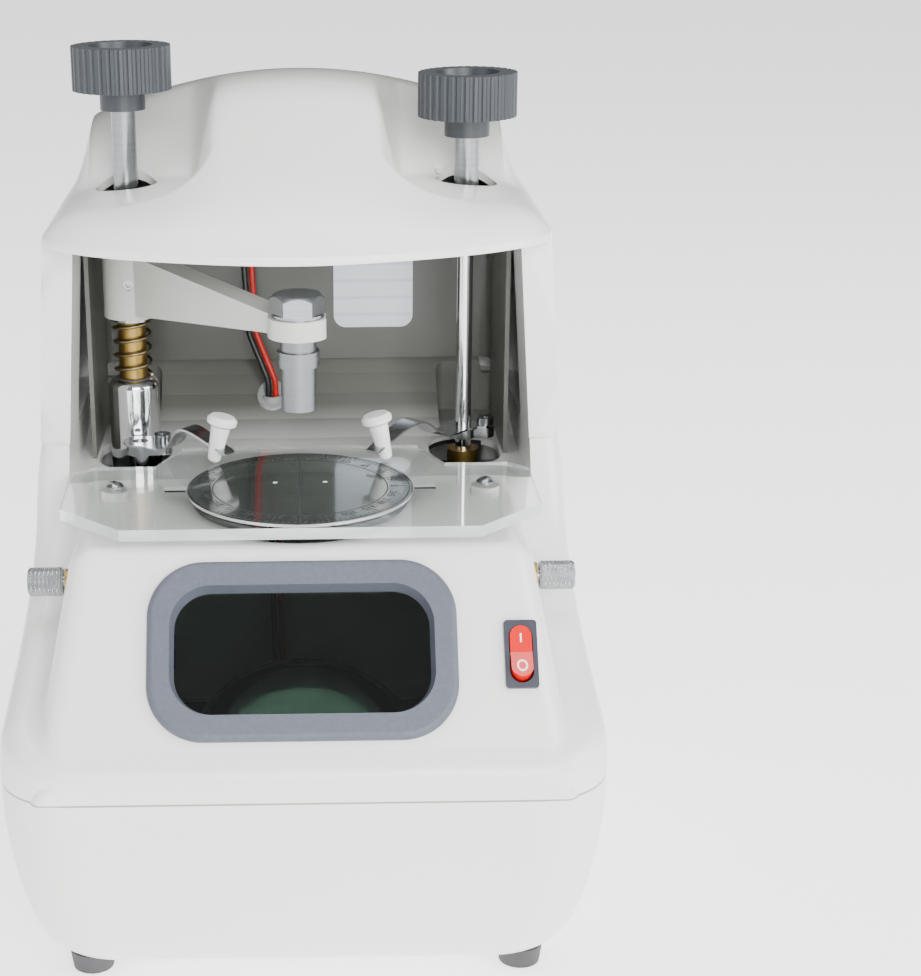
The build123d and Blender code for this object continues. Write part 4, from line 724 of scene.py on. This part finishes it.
def roof_height(x, y):
    """The hood's upper surface above the stage plate."""
    edge = edge_distance(x, y)
    visor = 85.0 + 10.0 * (1 - exp(-edge / 7.0)) + 0.05 * min(edge, 40.0)
    slope = 85.0 + 8.0 * (1 - exp(-(y + 10.0) / 7.0)) + 0.487 * (y + 10.0)
    top = 131.5 + 0.09 * (y - 68.0)
    line = top - softplus(top - slope, 1.5)
    if y > 96:
        line -= 16.0 * ((y - 96.0) / 32.0) ** 2.6
    crown = line - 0.00275 * x * x
    flank = visor + 3.6 * softplus(edge - 6.0, 1.5)
    crown = crown - softplus(crown - flank, 1.5)
    bell = 1 - smooth(24.0, 80.0, abs(x))
    past_x, past_y = 49.5 - abs(x), 41.0 - y
    gap = hypot(max(past_x, 0.0), max(past_y, 0.0)) + min(max(past_x, past_y), 0.0) - 15.0
    scoop = 1 - smooth(-5.0, 5.0, gap)
    rear = smooth(74.0, 108.0, y)
    return visor + (1 - (1 - rear) * (1 - bell * (1 - scoop))) * (crown - visor)


deselect()
bpy.ops.mesh.primitive_grid_add(x_subdivisions=300, y_subdivisions=100, size=1.0)
roof = bpy.context.object
middle_y = 50.0
reach_at = {}
for point in roof.data.vertices:
    turn = 2 * pi * (point.co.x + 0.5)
    column = round((point.co.x + 0.5) * 300) % 300
    if column not in reach_at:
        low, high = 20.0, 160.0
        for halving in range(32):
            tried = (low + high) / 2
            if outline_gap(tried * cos(turn), middle_y + tried * sin(turn)) < 0:
                low = tried
            else:
                high = tried
        reach_at[column] = low
    share = 1 - (1 - (point.co.y + 0.5)) ** 1.35
    x = reach_at[column] * share * cos(turn)
    y = middle_y + reach_at[column] * share * sin(turn)
    point.co = (x / 1000, (y - 25.0) / 1000, (roof_height(x, y) + 150.0) / 1000)
bpy.ops.object.mode_set(mode="EDIT")
bpy.ops.mesh.select_all(action="SELECT")
bpy.ops.mesh.remove_doubles(threshold=0.000005)
bpy.ops.mesh.normals_make_consistent(inside=False)
bpy.ops.mesh.select_all(action="DESELECT")
bpy.ops.mesh.select_non_manifold()
bpy.ops.mesh.extrude_edges_move(TRANSFORM_OT_translate={"value": (0.0, 0.0, -0.0025)})
bpy.ops.object.mode_set(mode="OBJECT")
wall = roof.modifiers.new("wall", "SOLIDIFY")
wall.thickness = 0.0028
wall.offset = -1.0
apply_modifiers(roof)
for side in (-1, 1):
    for x, y, radius in ((63.4, 70.7, 11.5), (54.5, 79.0, 2.2)):
        deselect()
        bpy.ops.mesh.primitive_cylinder_add(
            vertices=72, radius=radius / 1000, depth=0.08, location=(side * x / 1000, (y - 25.0) / 1000, 0.250)
        )
        drill = bpy.context.object
        settle(drill)
        cut = roof.modifiers.new("hole", "BOOLEAN")
        cut.operation = "DIFFERENCE"
        cut.solver = "FAST"
        cut.object = drill
        apply_modifiers(roof)
        bpy.data.objects.remove(drill)

deselect()
walls = frame["nodes"]["hood"].copy()
walls.data = frame["nodes"]["hood"].data.copy()
walls.parent = None
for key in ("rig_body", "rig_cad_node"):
    if key in walls:
        del walls[key]
bpy.context.scene.collection.objects.link(walls)
walls.select_set(True)
bpy.context.view_layer.objects.active = walls
bpy.ops.object.mode_set(mode="EDIT")
bpy.ops.mesh.select_all(action="SELECT")
bpy.ops.mesh.remove_doubles(threshold=0.000002)
bpy.ops.mesh.select_all(action="SELECT")
bpy.ops.mesh.bisect(plane_co=(0.0, 0.0, 0.2348), plane_no=(0.0, 0.0, 1.0), use_fill=True, clear_outer=True)
bpy.ops.object.mode_set(mode="OBJECT")
bpy.ops.object.shade_smooth_by_angle(angle=radians(30))
finish_piece(walls, "hood_walls", enamel, "base")
deselect()
roof.select_set(True)
bpy.context.view_layer.objects.active = roof
bpy.ops.object.shade_smooth_by_angle(angle=radians(40))
finish_piece(roof, "hood_shell", enamel, "base")
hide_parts("hood")
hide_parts("hood")

# --- liner and label ---
# Painted grey sheet round the inside of the hood, with a blank foil label stuck to its back.
liner_paint, tree = new_material("grey satin paint")
place = node(tree, "ShaderNodeTexCoord").outputs["Object"]
cloud = node(tree, "ShaderNodeTexNoise", {"Vector": place, "Scale": 12.0, "Detail": 3.0})
peel = node(tree, "ShaderNodeTexNoise", {"Vector": place, "Scale": 500.0, "Detail": 2.0})
tone = node(
    tree, "ShaderNodeMix", {0: cloud.outputs["Fac"], 6: linear("#54554F"), 7: linear("#60625B")},
    data_type="RGBA",
)
bump = node(tree, "ShaderNodeBump", {"Strength": 0.12, "Distance": 0.0002, "Height": peel.outputs["Fac"]})
skin = node(
    tree, "ShaderNodeBsdfPrincipled", {"Base Color": tone.outputs[2], "Roughness": 0.3, "Normal": bump.outputs[0]},
)
node(tree, "ShaderNodeOutputMaterial", {"Surface": skin.outputs[0]})
give(liner_paint, "inner_liner")

foil, tree = new_material("satin foil label")
place = node(tree, "ShaderNodeTexCoord").outputs["Object"]
axes = node(tree, "ShaderNodeSeparateXYZ", {"Vector": place})
# Lighter and darker horizontal bands are painted across the label: painted shading and sheen on the foil.
band = node(tree, "ShaderNodeMath", {0: axes.outputs["Z"], 1: 900.0}, operation="MULTIPLY")
wave = node(tree, "ShaderNodeMath", {0: band.outputs[0]}, operation="SINE")
shade = node(tree, "ShaderNodeMapRange", {"Value": wave.outputs[0], "From Min": 0.7, "From Max": 0.95})
tone = node(tree, "ShaderNodeMix", {0: shade.outputs[0], 6: linear("#DDE3EC"), 7: linear("#CCD4E0")}, data_type="RGBA")
skin = node(tree, "ShaderNodeBsdfPrincipled", {"Base Color": tone.outputs[2], "Metallic": 0.3, "Roughness": 0.35})
node(tree, "ShaderNodeOutputMaterial", {"Surface": skin.outputs[0]})
give(foil, "blank_label")

# --- lamp, leads and driver ---
# A bright emitter on a small green board; two PVC-covered leads, one red and one black.
board_mask, tree = new_material("green solder mask")
place = node(tree, "ShaderNodeTexCoord").outputs["Object"]
tracks = node(tree, "ShaderNodeTexVoronoi", {"Vector": place, "Scale": 260.0}, distance="MANHATTAN")
tone = node(
    tree, "ShaderNodeMix", {0: tracks.outputs["Distance"], 6: linear("#1E5B34"), 7: linear("#2F7A48")},
    data_type="RGBA",
)
skin = node(tree, "ShaderNodeBsdfPrincipled", {"Base Color": tone.outputs[2], "Roughness": 0.35})
node(tree, "ShaderNodeOutputMaterial", {"Surface": skin.outputs[0]})
give(board_mask, "led_board", "driver_board")

for name, dark, light, lead in (
    ("red PVC", "#C41A16", "#D8241F", "lamp_wire_red"), ("black PVC", "#1B1B1C", "#2A2A2B", "lamp_wire_black")
):
    sleeve, tree = new_material(name)
    place = node(tree, "ShaderNodeTexCoord").outputs["Object"]
    cloud = node(tree, "ShaderNodeTexNoise", {"Vector": place, "Scale": 90.0})
    tone = node(tree, "ShaderNodeMix", {0: cloud.outputs["Fac"], 6: linear(dark), 7: linear(light)}, data_type="RGBA")
    skin = node(tree, "ShaderNodeBsdfPrincipled", {"Base Color": tone.outputs[2], "Roughness": 0.35})
    node(tree, "ShaderNodeOutputMaterial", {"Surface": skin.outputs[0]})
    give(sleeve, lead)

# --- studio ---
# A pale floor that glows a little, a broad soft light overhead, one from each side and a large
# one in front.
floor_paint, tree = new_material("pale floor")
place = node(tree, "ShaderNodeTexCoord").outputs["Object"]
cloud = node(tree, "ShaderNodeTexNoise", {"Vector": place, "Scale": 3.0})
tone = node(
    tree, "ShaderNodeMix", {0: cloud.outputs["Fac"], 6: linear("#F4F4F4"), 7: linear("#F8F8F8")},
    data_type="RGBA",
)
skin = node(
    tree, "ShaderNodeBsdfPrincipled",
    {"Base Color": tone.outputs[2], "Roughness": 0.8, "Emission Color": linear("#FFFFFF"), "Emission Strength": 1.4},
)
node(tree, "ShaderNodeOutputMaterial", {"Surface": skin.outputs[0]})
deselect()
bpy.ops.mesh.primitive_plane_add(size=12.0)
floor = bpy.context.object
floor.name = "floor"
floor.data.materials.append(floor_paint)

for name, place, size, power in (
    ("overhead", (0.0, 0.0, 1.6), 1.2, 20.0),
    ("left", (-1.4, -0.7, 0.9), 1.2, 9.0),
    ("right", (1.5, -0.6, 0.8), 1.0, 30.0),
    ("front", (0.4, -1.9, 0.9), 1.2, 60.0),
):
    deselect()
    bpy.ops.object.light_add(type="AREA", location=place)
    lamp = bpy.context.object
    lamp.name = name
    lamp.data.size = size
    lamp.data.energy = power
    lamp.rotation_euler = (Vector((0.0, 0.0, 0.13)) - Vector(place)).to_track_quat("-Z", "Y").to_euler()

world = bpy.data.worlds.new("soft white room")
world.use_nodes = True
world.node_tree.nodes["Background"].inputs["Color"].default_value = linear("#FAFBFC")
world.node_tree.nodes["Background"].inputs["Strength"].default_value = 0.35
bpy.context.scene.world = world

deselect()
bpy.ops.object.camera_add(location=(0.00108, -0.69407, 0.3722))
camera = bpy.context.object
turned = Matrix.Rotation(radians(71.253), 4, "X") @ Matrix.Rotation(radians(-0.778), 4, "Z")
camera.matrix_world = Matrix.Translation((0.00108, -0.69407, 0.3722)) @ turned
camera.data.lens = 73.37
camera.data.sensor_width = 36.0
camera.data.shift_x = 0.161
camera.data.shift_y = 0.0123
bpy.context.scene.camera = camera
